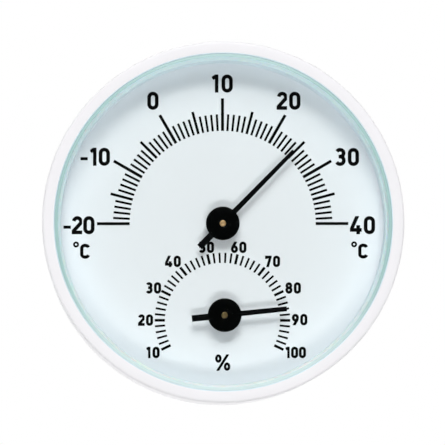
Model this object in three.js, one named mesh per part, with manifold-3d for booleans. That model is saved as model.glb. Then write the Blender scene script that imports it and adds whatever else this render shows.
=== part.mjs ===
// A round wall thermo-hygrometer: a white drum case with a flat glass lens over a recessed dial, and two
// pointers on brass staffs, each turned by its own spiral coil behind the dial.
// Millimetres, +Z up, dial facing -Y. The origin is the centre of the back face, which lies on the wall.
import * as THREE from "three";
import { mergeVertices } from "three/addons/utils/BufferGeometryUtils.js";
import Module from "manifold-3d";

const wasm = await Module();
wasm.setup();

// Case: a straight drum, open at the back
const CASE_DIAMETER = 70;
const CASE_WALL = 2;
const RIM_WIDTH = 2.4;
const RIM_ROUNDING = 0.8;
const SHOULDER_WIDTH = 1.6;
const PARTING_CHAMFER = 0.3;

// Clearances between pieces that seat, turn and press together
const FIT_GAP = 0.3;
const RUNNING_GAP = 0.1;
const PRESS_GAP = 0.05;

// Lens, and the seal between it and its ledge
const LENS_THICKNESS = 2;
const LENS_BEVEL = 0.5;
const LENS_SETBACK = 0.2;
const LENS_SIDE_GAP = 0.1;
const LEDGE_WIDTH = 1.2;
const SEAL_THICKNESS = 0.3;
const SEAL_MARGIN = 0.1;

// Dial, and the cup-shaped frame behind it
const DIAL_THICKNESS = 0.6;
const FRAME_FLOOR = 1.6;
const FRAME_WALL = 1.5;
const POST_RADIUS = 2.6;
const POST_ANGLES = [45, 135, 225, 315];

// Rear cover
const COVER_THICKNESS = 2;
const COVER_ROUNDING = 0.8;
const COVER_LIP_HEIGHT = 2;
const COVER_LIP_WALL = 1.2;
const COVER_BOSS_RADIUS = 3.4;
const COVER_BOSS_INSET = 0.5;
const REAR_SPACE = 3.7;
const KEYHOLE_ENTRY_RADIUS = 4.4;
const KEYHOLE_SLOT_WIDTH = 4.6;
const KEYHOLE_DROP = 7;
const KEYHOLE_EDGE_GAP = 6.7;
const VENT_COUNT = 15;
const VENT_WIDTH = 1.8;
const VENT_INNER_RADIUS = 14;
const VENT_BOSS_GAP = 0.9;
const VENT_SPREAD = 252;

// Screws
const COVER_SCREW_HEAD_RADIUS = 1.9;
const COVER_SCREW_HEAD_HEIGHT = 1.3;
const COVER_SCREW_SHANK_RADIUS = 1;
const COVER_SCREW_LENGTH = 5;
const COVER_SCREW_SLOT = 0.6;
const COVER_SCREW_RECESS = 0.3;
const BRIDGE_SCREW_HEAD_RADIUS = 1.6;
const BRIDGE_SCREW_HEAD_HEIGHT = 0.9;
const BRIDGE_SCREW_SHANK_RADIUS = 0.8;
const BRIDGE_SCREW_SLOT = 0.5;
const BRIDGE_SCREW_END_GAP = 0.4;

// Staffs, and the bushes that they turn in
const STAFF_RADIUS = 0.6;
const STAFF_PIVOT_RADIUS = 0.4;
const STAFF_TIP = 0.2;
const BUSH_WALL = 0.9;
const BUSH_FLANGE_WIDTH = 1;
const BUSH_FLANGE_THICKNESS = 0.6;
const BUSH_STANDS_PROUD = 0.4;

// Pointers, and the round hubs that hold them to the staffs
const POINTER_THICKNESS = 0.2;
const POINTER_EYE_WIDTH = 0.8;
const POINTERS_PASS_GAP = 0.2;
const BLADE_ROOT_WIDTH = 0.95;
const BLADE_TIP_WIDTH = 0.67;
const TAIL_WIDTH = 1.03;
const HUB_RADIUS = 3.28;
const HUB_THICKNESS = 0.35;
const HUB_EDGE = 0.15;
const HUB_BOSS_WALL = 0.75;
const HUB_BOSS_LENGTH = 1.55;
const HUB_TO_LENS_GAP = 2.4;

// Coils, with the collets and studs at their ends, and the bridges over them
const COIL_COLLET_WALL = 0.85;
const COIL_FLANGE_GAP = 0.4;
const COIL_REAR_GAP = 1.4;
const COIL_KICK_ANGLE = 90;
const STUD_JAW = 0.6;
const STUD_GRIP = 1;
const BRIDGE_THICKNESS = 0.8;
const BRIDGE_WIDTH = 4.4;
const BRIDGE_FOOT_MARGIN = 0.8;
const BRIDGE_LEG_GAP = 1.6;

// How far each pointer stands off the dial: the upper one's blade passes over the lower one's tail
const lowerStandoff = BUSH_STANDS_PROUD + FIT_GAP + HUB_BOSS_LENGTH;
const upperStandoff = lowerStandoff + POINTER_THICKNESS + POINTERS_PASS_GAP;

// The two movements. Angles are in degrees: readings clockwise from upright, studs as on a graph.
const THERMOMETER = {
  name: "thermometer",
  staffX: 0,
  staffZ: 0,
  readingAngle: 44.35,
  standoff: lowerStandoff,
  bladeReach: 16.45,
  tailReach: 3.05,
  studAngle: 90,
  coilTurns: 3.5,
  coilPitch: 1.4,
  coilThickness: 0.5,
  coilWidth: 3.2,
};
const HYGROMETER = {
  name: "hygrometer",
  staffX: 0.35,
  staffZ: -17.85,
  readingAngle: 84.05,
  standoff: upperStandoff,
  bladeReach: 8.85,
  tailReach: 3,
  studAngle: 270,
  coilTurns: 4.5,
  coilPitch: 1,
  coilThickness: 0.3,
  coilWidth: 4,
};
const MOVEMENTS = [THERMOMETER, HYGROMETER];

// How finely round shapes are drawn, and how far a cutting tool runs past what it cuts
const CASE_SEGMENTS = 72;
const SMALL_SEGMENTS = 16;
const ROUNDING_STEPS = 4;
const COIL_STEPS_PER_TURN = 24;
const CUT_MARGIN = 1;

// Heights over the back of the frame's floor
const coilBase = BUSH_FLANGE_THICKNESS + 2 * FIT_GAP + COIL_FLANGE_GAP;
const coilTop = ({ coilWidth }) => coilBase + coilWidth;
const bridgeInside = (movement) => coilTop(movement) + COIL_REAR_GAP;
const bridgeTop = (movement) => bridgeInside(movement) + BRIDGE_THICKNESS;
const staffEnd = (movement) => bridgeTop(movement) + FIT_GAP;

// Levels along Y, from the rim's face back to the wall. The case is as deep as what it holds.
const lensToDial = upperStandoff + POINTER_THICKNESS + HUB_THICKNESS + STAFF_TIP + HUB_TO_LENS_GAP;
const deepestStaff = Math.max(...MOVEMENTS.map(staffEnd));
const floorBackY = -COVER_THICKNESS - REAR_SPACE - deepestStaff;
const dialBackY = floorBackY - FRAME_FLOOR;
const dialFaceY = dialBackY - DIAL_THICKNESS;
const lensBackY = dialFaceY - lensToDial;
const lensFrontY = lensBackY - LENS_THICKNESS;
const rimFaceY = lensFrontY - LENS_SETBACK;
const ledgeY = lensBackY + SEAL_THICKNESS;
const coverFrontY = -COVER_THICKNESS;
const lipFrontY = coverFrontY - COVER_LIP_HEIGHT;
const coverScrewSeatY = -COVER_SCREW_RECESS - COVER_SCREW_HEAD_HEIGHT;

// Radii that pieces share. The window leaves both the lens ledge and the dial's shoulder standing.
const caseRadius = CASE_DIAMETER / 2;
const boreRadius = caseRadius - CASE_WALL;
const pocketRadius = caseRadius - RIM_WIDTH;
const windowRadius = Math.min(pocketRadius - LEDGE_WIDTH, boreRadius - SHOULDER_WIDTH);
const lensRadius = pocketRadius - LENS_SIDE_GAP;
const seatedRadius = boreRadius - FIT_GAP;
const postCircleRadius = seatedRadius - COVER_BOSS_RADIUS - COVER_BOSS_INSET;
const staffBore = STAFF_RADIUS + PRESS_GAP;
const bushBore = STAFF_RADIUS + RUNNING_GAP;
const bushRadius = bushBore + BUSH_WALL;
const hubBossRadius = staffBore + HUB_BOSS_WALL;
const coilColletRadius = staffBore + COIL_COLLET_WALL;

// Sizes across the dial that follow from a movement's own
const coilStartRadius = ({ coilThickness }) => coilColletRadius + FIT_GAP + coilThickness / 2;
const coilEndRadius = (movement) => coilStartRadius(movement) + movement.coilTurns * movement.coilPitch;
const coilKick = ({ coilThickness }) => coilThickness + 2 * FIT_GAP + STUD_JAW;
const bridgeLegX = (movement) => coilEndRadius(movement) + movement.coilThickness / 2 + BRIDGE_LEG_GAP;
const bridgeFoot = 2 * (BRIDGE_SCREW_HEAD_RADIUS + BRIDGE_FOOT_MARGIN);
const bridgeScrewX = (movement) => bridgeLegX(movement) + BRIDGE_THICKNESS + bridgeFoot / 2;
const pointerBackY = ({ standoff }) => dialFaceY - standoff;

const radians = THREE.MathUtils.degToRad;
const degrees = THREE.MathUtils.radToDeg;

const postCentres = POST_ANGLES.map((angle) => [
  postCircleRadius * Math.cos(radians(angle)),
  postCircleRadius * Math.sin(radians(angle)),
]);

// Materials
const finish = (color, roughness, metalness = 0) =>
  new THREE.MeshStandardMaterial({ color, roughness, metalness });
const whiteAbs = finish(0xf4f5f8, 0.45);
const lensGlass = new THREE.MeshStandardMaterial({
  color: 0xbfe3df,
  roughness: 0.05,
  metalness: 0,
  transparent: true,
  opacity: 0.25,
});
const sealSilicone = finish(0xc6e6e6, 0.5);
const dialWhite = finish(0xe5edf1, 0.5);
const frameAbs = finish(0xe6e6e4, 0.6);
const pointerBlack = finish(0x060708, 0.45);
const brass = finish(0xc7a468, 0.3, 1);
const steel = finish(0xa9abad, 0.35, 1);
const bimetal = finish(0x9c9a92, 0.35, 1);
const humidityFilm = finish(0xb99a6a, 0.6);

/** The points of an arc about (x, y), from one angle to another in degrees. */
function arc(x, y, radius, from, to, steps) {
  return Array.from({ length: steps + 1 }, (_, i) => {
    const angle = radians(from + ((to - from) * i) / steps);
    return new THREE.Vector2(x + radius * Math.cos(angle), y + radius * Math.sin(angle));
  });
}

/** A closed ring of points about (x, y). */
function ring(x, y, radius, segments) {
  return arc(x, y, radius, 0, 360, segments).slice(0, -1);
}

/** Points turned about the origin by an angle in degrees. */
function turnedBy(points, angle) {
  return points.map((point) => point.clone().rotateAround(new THREE.Vector2(), radians(angle)));
}

/** A body turned about Y, from an outline of [radius, y] points that ends on the axis or closes on itself. */
function turned(outline, segments) {
  const points = outline.map((point) => (point.isVector2 ? point.clone() : new THREE.Vector2(...point)));
  const endsOnAxis = points[0].x === 0 && points.at(-1).x === 0;
  if (THREE.ShapeUtils.area(points) < 0) points.reverse();
  if (!endsOnAxis) points.push(points[0].clone());
  return new THREE.LatheGeometry(points, segments);
}

/** A flat plate: its outline is drawn in X and Z as seen from the front, and it stands forward of backY. */
function plate(outline, holes, backY, thickness) {
  const shape = new THREE.Shape(outline);
  shape.holes = holes.map((hole) => new THREE.Path(hole));
  const geometry = new THREE.ExtrudeGeometry(shape, { depth: thickness, bevelEnabled: false });
  return geometry.rotateX(Math.PI / 2).translate(0, backY, 0);
}

/** A round rod along Y at (x, z). */
function rod(x, z, radius, frontY, backY) {
  return plate(ring(x, z, radius, SMALL_SEGMENTS), [], backY, backY - frontY);
}

/** A geometry as a closed solid that can be joined and cut. */
function solidOf(geometry) {
  const bare = geometry.clone();
  bare.deleteAttribute("normal");
  bare.deleteAttribute("uv");
  const merged = mergeVertices(bare);
  const vertProperties = merged.attributes.position.array;
  const triVerts = new Uint32Array(merged.index.array);
  return new wasm.Manifold(new wasm.Mesh({ numProp: 3, vertProperties, triVerts }));
}

/** A solid back as a geometry. */
function geometryOf(solid) {
  const { vertProperties, triVerts } = solid.getMesh();
  return new THREE.BufferGeometry()
    .setAttribute("position", new THREE.BufferAttribute(vertProperties, 3))
    .setIndex(new THREE.BufferAttribute(triVerts, 1));
}

/** The first geometry with the others joined to it. */
function joined(base, added) {
  return geometryOf(added.reduce((solid, geometry) => solid.add(solidOf(geometry)), solidOf(base)));
}

/** The first geometry with the others cut out of it. */
function cut(base, removed) {
  return geometryOf(removed.reduce((solid, geometry) => solid.subtract(solidOf(geometry)), solidOf(base)));
}

/** A named sub-part. */
function part(name, geometry, material) {
  const mesh = new THREE.Mesh(geometry, material);
  mesh.name = name;
  return mesh;
}

// The drum: one moulding with the front rim, the lens pocket, the window and the dial's shoulder
function caseBody() {
  const rounding = Math.min(RIM_ROUNDING, RIM_WIDTH / 2);
  return turned(
    [
      [boreRadius, coverFrontY],
      [boreRadius, dialFaceY],
      [windowRadius, dialFaceY],
      [windowRadius, ledgeY],
      [pocketRadius, ledgeY],
      [pocketRadius, rimFaceY],
      ...arc(caseRadius - rounding, rimFaceY + rounding, rounding, 270, 360, ROUNDING_STEPS),
      [caseRadius, coverFrontY - PARTING_CHAMFER],
      [caseRadius - PARTING_CHAMFER, coverFrontY],
    ],
    CASE_SEGMENTS,
  );
}

function lens() {
  const bevel = Math.min(LENS_BEVEL, LENS_THICKNESS / 2);
  return turned(
    [
      [0, lensFrontY],
      [lensRadius - bevel, lensFrontY],
      [lensRadius, lensFrontY + bevel],
      [lensRadius, lensBackY],
      [0, lensBackY],
    ],
    CASE_SEGMENTS,
  );
}

/** A tube about Y. */
function tube(bore, radius, frontY, backY, segments) {
  return turned(
    [
      [bore, frontY],
      [radius, frontY],
      [radius, backY],
      [bore, backY],
    ],
    segments,
  );
}

function lensSeal() {
  return tube(windowRadius + SEAL_MARGIN, lensRadius - SEAL_MARGIN, lensBackY, ledgeY, CASE_SEGMENTS);
}

/** The holes in the dial and in the frame's floor that the bushes pass through. */
function bushHoles() {
  const radius = bushRadius + RUNNING_GAP;
  return MOVEMENTS.map(({ staffX, staffZ }) => ring(staffX, staffZ, radius, SMALL_SEGMENTS));
}

function dialPlate() {
  return plate(ring(0, 0, seatedRadius, CASE_SEGMENTS), bushHoles(), dialBackY, DIAL_THICKNESS);
}

// The cup behind the dial: its floor carries both movements and its posts take the cover's screws
function innerFrame() {
  const pilotRadius = BRIDGE_SCREW_SHANK_RADIUS + RUNNING_GAP;
  const bridgePilots = MOVEMENTS.flatMap((movement) =>
    [-1, 1].map((side) =>
      ring(movement.staffX + side * bridgeScrewX(movement), movement.staffZ, pilotRadius, SMALL_SEGMENTS),
    ),
  );
  const outline = ring(0, 0, seatedRadius, CASE_SEGMENTS);
  const inside = ring(0, 0, seatedRadius - FRAME_WALL, CASE_SEGMENTS);
  const wallRearY = lipFrontY - FIT_GAP;
  const floor = plate(outline, [...bushHoles(), ...bridgePilots], floorBackY, FRAME_FLOOR);
  const wall = plate(outline, [inside], wallRearY, wallRearY - dialBackY);
  const posts = postCentres.map(([x, z]) => rod(x, z, POST_RADIUS, floorBackY - FRAME_FLOOR / 2, lipFrontY));
  const pilotEndY = coverScrewSeatY - COVER_SCREW_LENGTH - FIT_GAP;
  const postPilots = postCentres.map(([x, z]) =>
    rod(x, z, COVER_SCREW_SHANK_RADIUS + RUNNING_GAP, pilotEndY, lipFrontY + CUT_MARGIN),
  );
  return cut(joined(floor, [wall, ...posts]), postPilots);
}

/** The hanging keyhole: a round entry with a slot that rises from it to the hanging point. */
function keyholeOutline() {
  const half = KEYHOLE_SLOT_WIDTH / 2;
  const slotZ = seatedRadius - COVER_LIP_WALL - KEYHOLE_EDGE_GAP - half;
  const meets = degrees(Math.acos(half / KEYHOLE_ENTRY_RADIUS));
  return [
    ...arc(0, slotZ - KEYHOLE_DROP, KEYHOLE_ENTRY_RADIUS, 180 - meets, 360 + meets, SMALL_SEGMENTS),
    ...arc(0, slotZ, half, 0, 180, SMALL_SEGMENTS / 2),
  ];
}

/** The vents: round-ended slots that fan out along radii, evenly to both sides of straight down. */
function ventOutlines() {
  const end = VENT_WIDTH / 2;
  const outerRadius = postCircleRadius - COVER_BOSS_RADIUS - VENT_BOSS_GAP;
  const slot = [
    ...arc(outerRadius - end, 0, end, -90, 90, ROUNDING_STEPS),
    ...arc(VENT_INNER_RADIUS + end, 0, end, 90, 270, ROUNDING_STEPS),
  ];
  const step = VENT_SPREAD / (VENT_COUNT - 1);
  return Array.from({ length: VENT_COUNT }, (_, i) => turnedBy(slot, 270 - VENT_SPREAD / 2 + i * step));
}

// The back: a flat disc with the hanging keyhole, a fan of vents, a locating lip and the screw bosses
function rearCover() {
  const rounding = Math.min(COVER_ROUNDING, COVER_THICKNESS - PARTING_CHAMFER);
  const disc = turned(
    [
      [0, coverFrontY],
      [caseRadius - PARTING_CHAMFER, coverFrontY],
      [caseRadius, coverFrontY + PARTING_CHAMFER],
      ...arc(caseRadius - rounding, -rounding, rounding, 0, 90, ROUNDING_STEPS),
      [0, 0],
    ],
    CASE_SEGMENTS,
  );
  const rootY = coverFrontY / 2;
  const lip = tube(seatedRadius - COVER_LIP_WALL, seatedRadius, lipFrontY, rootY, CASE_SEGMENTS);
  const bosses = postCentres.map(([x, z]) => rod(x, z, COVER_BOSS_RADIUS, lipFrontY, rootY));
  const slots = [keyholeOutline(), ...ventOutlines()];
  const screwHoles = postCentres.flatMap(([x, z]) => [
    rod(x, z, COVER_SCREW_HEAD_RADIUS + FIT_GAP, coverScrewSeatY, CUT_MARGIN),
    rod(x, z, COVER_SCREW_SHANK_RADIUS + FIT_GAP, lipFrontY - CUT_MARGIN, CUT_MARGIN),
  ]);
  return cut(joined(disc, [lip, ...bosses]), [
    ...slots.map((outline) => plate(outline, [], CUT_MARGIN, COVER_THICKNESS + 2 * CUT_MARGIN)),
    ...screwHoles,
  ]);
}

/** A slotted screw whose head seats at y = 0 and stands towards +Y, with its shank towards -Y. */
function screw(headRadius, headHeight, shankRadius, length, slotWidth) {
  const halfHead = headHeight / 2;
  const pointed = shankRadius / 2;
  const body = turned(
    [
      [0, -length],
      [shankRadius - pointed, -length],
      [shankRadius, pointed - length],
      [shankRadius, 0],
      [headRadius, 0],
      [headRadius, halfHead],
      [headRadius - halfHead / 2, headHeight],
      [0, headHeight],
    ],
    SMALL_SEGMENTS,
  );
  const slot = new THREE.BoxGeometry(2 * headRadius + CUT_MARGIN, headHeight, slotWidth);
  return cut(body, [slot.translate(0, headHeight, 0)]);
}

function coverScrew() {
  return screw(
    COVER_SCREW_HEAD_RADIUS,
    COVER_SCREW_HEAD_HEIGHT,
    COVER_SCREW_SHANK_RADIUS,
    COVER_SCREW_LENGTH,
    COVER_SCREW_SLOT,
  );
}

function bridgeScrew() {
  return screw(
    BRIDGE_SCREW_HEAD_RADIUS,
    BRIDGE_SCREW_HEAD_HEIGHT,
    BRIDGE_SCREW_SHANK_RADIUS,
    BRIDGE_THICKNESS + FRAME_FLOOR - BRIDGE_SCREW_END_GAP,
    BRIDGE_SCREW_SLOT,
  );
}

/** A coil's centre line: a spiral that swings outwards over its last stretch to reach the stud. */
function coilLine(movement) {
  const { coilTurns, coilPitch, studAngle } = movement;
  const steps = Math.round(coilTurns * COIL_STEPS_PER_TURN);
  return Array.from({ length: steps + 1 }, (_, i) => {
    const done = i / steps;
    const toGo = 360 * coilTurns * (1 - done);
    const swing = THREE.MathUtils.smoothstep(COIL_KICK_ANGLE - toGo, 0, COIL_KICK_ANGLE);
    const radius = coilStartRadius(movement) + coilPitch * coilTurns * done + coilKick(movement) * swing;
    return { angle: radians(studAngle - toGo), radius };
  });
}

/** A point of the plane from its angle and radius. */
function polar(angle, radius) {
  return new THREE.Vector2(radius * Math.cos(angle), radius * Math.sin(angle));
}

/** The least gap between a coil's turns, over all points that lie half a turn or more apart. */
function leastCoilGap(movement) {
  const points = coilLine(movement).map(({ angle, radius }) => polar(angle, radius));
  const halfTurn = COIL_STEPS_PER_TURN / 2;
  const distances = points.flatMap((point, i) =>
    points.slice(i + halfTurn).map((other) => other.distanceTo(point)),
  );
  return Math.min(...distances) - movement.coilThickness;
}

function coil(movement) {
  const half = movement.coilThickness / 2;
  const line = coilLine(movement);
  const outer = line.map(({ angle, radius }) => polar(angle, radius + half));
  const inner = line.map(({ angle, radius }) => polar(angle, radius - half));
  return plate([...outer, ...inner.reverse()], [], floorBackY + coilTop(movement), movement.coilWidth);
}

// The stud: a post on the frame's floor with a slit that holds the coil's outer end
function coilStud(movement) {
  const slit = movement.coilThickness / 2 + FIT_GAP;
  const half = slit + STUD_JAW;
  const centre = coilEndRadius(movement) + coilKick(movement);
  const outline = [
    [STUD_GRIP, -half],
    [STUD_GRIP, -slit],
    [-FIT_GAP, -slit],
    [-FIT_GAP, slit],
    [STUD_GRIP, slit],
    [STUD_GRIP, half],
    [-FIT_GAP - STUD_JAW, half],
    [-FIT_GAP - STUD_JAW, -half],
  ].map(([x, z]) => new THREE.Vector2(x, centre + z));
  const height = coilTop(movement);
  return plate(turnedBy(outline, movement.studAngle - 90), [], floorBackY + height, height);
}

function coilCollet(movement) {
  const frontY = floorBackY + coilBase - FIT_GAP;
  const backY = floorBackY + coilTop(movement) + FIT_GAP;
  return tube(staffBore, coilColletRadius, frontY, backY, SMALL_SEGMENTS);
}

function bush() {
  const frontY = dialFaceY - BUSH_STANDS_PROUD;
  const flangeY = floorBackY + BUSH_FLANGE_THICKNESS;
  return turned(
    [
      [bushBore, frontY],
      [bushRadius, frontY],
      [bushRadius, floorBackY],
      [bushRadius + BUSH_FLANGE_WIDTH, floorBackY],
      [bushRadius + BUSH_FLANGE_WIDTH, flangeY],
      [bushBore, flangeY],
    ],
    SMALL_SEGMENTS,
  );
}

// The bridge: a bent strap over the coil, with the hole for the staff's rear pivot
function bridge(movement) {
  const leg = bridgeLegX(movement);
  const toe = leg + BRIDGE_THICKNESS + bridgeFoot;
  const insideY = floorBackY + bridgeInside(movement);
  const topY = floorBackY + bridgeTop(movement);
  const footTopY = floorBackY + BRIDGE_THICKNESS;
  const rightHalf = [
    [leg, insideY],
    [leg, floorBackY],
    [toe, floorBackY],
    [toe, footTopY],
    [leg + BRIDGE_THICKNESS, footTopY],
    [leg + BRIDGE_THICKNESS, topY],
  ];
  const leftHalf = rightHalf.map(([x, y]) => [-x, y]).reverse();
  const shape = new THREE.Shape([...rightHalf, ...leftHalf].map(([x, y]) => new THREE.Vector2(x, y)));
  const strap = new THREE.ExtrudeGeometry(shape, { depth: BRIDGE_WIDTH, bevelEnabled: false });
  const screwHoleRadius = BRIDGE_SCREW_SHANK_RADIUS + RUNNING_GAP;
  const screwHoles = [-1, 1].map((side) =>
    rod(side * bridgeScrewX(movement), 0, screwHoleRadius, floorBackY - CUT_MARGIN, footTopY + CUT_MARGIN),
  );
  return cut(strap.translate(0, 0, -BRIDGE_WIDTH / 2), [
    rod(0, 0, STAFF_PIVOT_RADIUS + RUNNING_GAP, insideY - CUT_MARGIN, topY + CUT_MARGIN),
    ...screwHoles,
  ]);
}

function staff(movement) {
  const tipY = pointerBackY(movement) - POINTER_THICKNESS - HUB_THICKNESS - STAFF_TIP;
  const shoulderY = floorBackY + bridgeInside(movement) - FIT_GAP;
  const endY = floorBackY + staffEnd(movement);
  return turned(
    [
      [0, tipY],
      [STAFF_RADIUS, tipY],
      [STAFF_RADIUS, shoulderY],
      [STAFF_PIVOT_RADIUS, shoulderY],
      [STAFF_PIVOT_RADIUS, endY],
      [0, endY],
    ],
    SMALL_SEGMENTS,
  );
}

// A pointer at upright: a tapered blade and a short tail on an eye that fits round the hub's boss
function pointer(movement) {
  const eyeRadius = hubBossRadius + PRESS_GAP;
  const eyeOuter = eyeRadius + POINTER_EYE_WIDTH;
  const halfAngle = (width) => degrees(Math.asin(width / 2 / eyeOuter));
  const root = halfAngle(BLADE_ROOT_WIDTH);
  const tail = halfAngle(TAIL_WIDTH);
  const tipZ = HUB_RADIUS + movement.bladeReach;
  const tailZ = -HUB_RADIUS - movement.tailReach;
  const steps = SMALL_SEGMENTS / 2;
  const outline = [
    new THREE.Vector2(BLADE_TIP_WIDTH / 2, tipZ),
    new THREE.Vector2(-BLADE_TIP_WIDTH / 2, tipZ),
    ...arc(0, 0, eyeOuter, 90 + root, 270 - tail, steps),
    new THREE.Vector2(-TAIL_WIDTH / 2, tailZ),
    new THREE.Vector2(TAIL_WIDTH / 2, tailZ),
    ...arc(0, 0, eyeOuter, 270 + tail, 450 - root, steps),
  ];
  const eye = ring(0, 0, eyeRadius, SMALL_SEGMENTS);
  return plate(outline, [eye], pointerBackY(movement), POINTER_THICKNESS);
}

// The hub: a disc in front of the pointer, with a boss through the pointer's eye that grips the staff
function hub(movement) {
  const backY = pointerBackY(movement) - POINTER_THICKNESS;
  const frontY = backY - HUB_THICKNESS;
  const bossEndY = dialFaceY - BUSH_STANDS_PROUD - FIT_GAP;
  const edge = Math.min(HUB_EDGE, HUB_THICKNESS / 2);
  return turned(
    [
      [staffBore, frontY],
      [HUB_RADIUS - edge, frontY],
      [HUB_RADIUS, frontY + edge],
      [HUB_RADIUS, backY],
      [hubBossRadius, backY],
      [hubBossRadius, bossEndY],
      [staffBore, bossEndY],
    ],
    SMALL_SEGMENTS * 2,
  );
}

/** One movement about its own staff, with the pieces that turn in a group of their own. */
function movementGroup(movement, coilMaterial) {
  const named = (name, geometry, material) => part(`${movement.name}_${name}`, geometry, material);
  const turning = new THREE.Group();
  turning.rotation.y = radians(movement.readingAngle);
  turning.add(
    named("pointer", pointer(movement), pointerBlack),
    named("hub", hub(movement), pointerBlack),
    named("staff", staff(movement), brass),
    named("coil_collet", coilCollet(movement), brass),
  );
  const group = new THREE.Group();
  group.position.set(movement.staffX, 0, movement.staffZ);
  group.add(
    turning,
    named("coil", coil(movement), coilMaterial),
    named("coil_stud", coilStud(movement), brass),
    named("bush", bush(), brass),
    named("bridge", bridge(movement), steel),
  );
  for (const side of [-1, 1]) {
    const fastener = named(`bridge_screw_${side < 0 ? "left" : "right"}`, bridgeScrew(), steel);
    fastener.position.set(side * bridgeScrewX(movement), floorBackY + BRIDGE_THICKNESS, 0);
    group.add(fastener);
  }
  return group;
}

const thermoHygrometer = new THREE.Group();
thermoHygrometer.add(
  part("case_body", caseBody(), whiteAbs),
  part("lens", lens(), lensGlass),
  part("lens_seal", lensSeal(), sealSilicone),
  part("dial_plate", dialPlate(), dialWhite),
  part("inner_frame", innerFrame(), frameAbs),
  part("rear_cover", rearCover(), whiteAbs),
  movementGroup(THERMOMETER, bimetal),
  movementGroup(HYGROMETER, humidityFilm),
);
postCentres.forEach(([x, z], i) => {
  const fastener = part(`cover_screw_${i + 1}`, coverScrew(), steel);
  fastener.position.set(x, coverScrewSeatY, z);
  thermoHygrometer.add(fastener);
});

for (const movement of MOVEMENTS) {
  console.log(`${movement.name} coil: least gap between turns ${leastCoilGap(movement).toFixed(2)} mm`);
}

export default thermoHygrometer;
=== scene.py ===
"""The looks of a round wall thermo-hygrometer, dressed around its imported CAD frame.

Everything is in metres and in the CAD's own frame: +Z is up, the dial faces -Y, and the back face lies in
the plane y = 0. Outlines across the dial are (x, z) points as seen from the front.
"""

import math

import bmesh
import bpy
from bpy.props import FloatProperty, FloatVectorProperty, IntProperty, PointerProperty
from mathutils import Matrix, Vector
from mathutils.geometry import delaunay_2d_cdt, tessellate_polygon


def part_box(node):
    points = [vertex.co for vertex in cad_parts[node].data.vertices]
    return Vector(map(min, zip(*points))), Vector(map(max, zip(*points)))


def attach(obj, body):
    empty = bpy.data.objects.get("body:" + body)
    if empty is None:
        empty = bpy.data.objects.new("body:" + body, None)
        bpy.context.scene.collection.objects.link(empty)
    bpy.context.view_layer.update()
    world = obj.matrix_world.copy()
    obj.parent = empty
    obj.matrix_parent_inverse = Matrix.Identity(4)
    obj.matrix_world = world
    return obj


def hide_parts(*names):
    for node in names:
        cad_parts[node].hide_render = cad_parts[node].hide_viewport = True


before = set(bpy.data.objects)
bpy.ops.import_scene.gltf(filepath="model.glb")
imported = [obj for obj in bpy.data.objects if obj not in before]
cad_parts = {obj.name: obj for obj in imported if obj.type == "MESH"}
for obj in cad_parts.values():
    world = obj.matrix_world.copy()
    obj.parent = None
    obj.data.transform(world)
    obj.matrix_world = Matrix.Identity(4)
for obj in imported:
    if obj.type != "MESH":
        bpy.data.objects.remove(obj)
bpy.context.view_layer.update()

bl_info = {
    "name": "Wall thermo-hygrometer",
    "version": (1, 0, 0),
    "blender": (4, 5, 0),
    "location": "View3D > Sidebar > Instrument",
    "description": "Dresses the CAD frame of a round wall thermo-hygrometer",
    "category": "Add Mesh",
}

MM = 0.001
LARGE_ROUND = 256
SMALL_ROUND = 64
EASING_STEPS = 5
SHARP_FROM = math.radians(20)
SOFTLY = {"interpolation_type": "SMOOTHSTEP"}


def across(name):
    """A CAD node's greatest x, which is the radius of a piece that is round about the origin."""
    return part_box(name)[1].x


def levels(name):
    """Where a CAD node begins and ends along Y."""
    low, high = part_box(name)
    return low.y, high.y


def axis_of(name):
    """Where the axis of a round CAD node passes through the dial."""
    low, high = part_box(name)
    middle = (low + high) / 2
    return Vector((middle.x, middle.z))


# What the CAD settles
CASE_RADIUS = across("case_body")
LENS_RADIUS = across("lens")
SEAL_RADIUS = across("lens_seal")
DIAL_RADIUS = across("dial_plate")
RIM_FACE, CASE_REAR = levels("case_body")
LENS_FRONT, LENS_BACK = levels("lens")
LEDGE = levels("lens_seal")[1]
DIAL_FACE, DIAL_BACK = levels("dial_plate")
COVER_LIP_FRONT, BACK_FACE = levels("rear_cover")
FLOOR_BACK = levels("thermometer_bridge")[0]
SCREW_NODES = [f"cover_screw_{number}" for number in (1, 2, 3, 4)]
SCREW_CIRCLE = axis_of(SCREW_NODES[0]).length
FIRST_SCREW, SCREW_STEP = math.radians(45), math.radians(90)
STAFF_RADIUS, PIVOT_RADIUS, STAFF_BORE = 0.6 * MM, 0.4 * MM, 0.65 * MM
COLLET_RADIUS = 1.5 * MM

# The two movements: readings are in degrees clockwise from upright, stud angles as on a graph
MOVEMENTS = (
    {
        "name": "thermometer",
        "brass": "brass",
        "reading": 44.35,
        "blade_reach": 16.45 * MM,
        "blade_tip": 0.77 * MM,
        "tail_reach": 3.17 * MM,
        "stud_angle": 90,
        "coil_turns": 3.5,
        "coil_pitch": 1.4 * MM,
        "strip_thickness": 0.5 * MM,
        "strip_slot": "bimetal_strip",
    },
    {
        "name": "hygrometer",
        "brass": "aged_brass",
        "reading": 84.05,
        "blade_reach": 8.85 * MM,
        "blade_tip": 0.95 * MM,
        "tail_reach": 3.1 * MM,
        "stud_angle": 270,
        "coil_turns": 4.5,
        "coil_pitch": 1 * MM,
        "strip_thickness": 0.3 * MM,
        "strip_slot": "humidity_strip",
    },
)


def linear(code):
    """A colour's linear values from its sRGB hex code."""
    channels = [int(code[i : i + 2], 16) / 255 for i in (1, 3, 5)]
    return [c / 12.92 if c <= 0.04045 else ((c + 0.055) / 1.055) ** 2.4 for c in channels]


def length(name, description, millimetres):
    """A size that a user can change, kept in metres."""
    kept = {"default": millimetres * MM, "subtype": "DISTANCE", "precision": 5}
    return FloatProperty(name=name, description=description, **kept)


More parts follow.
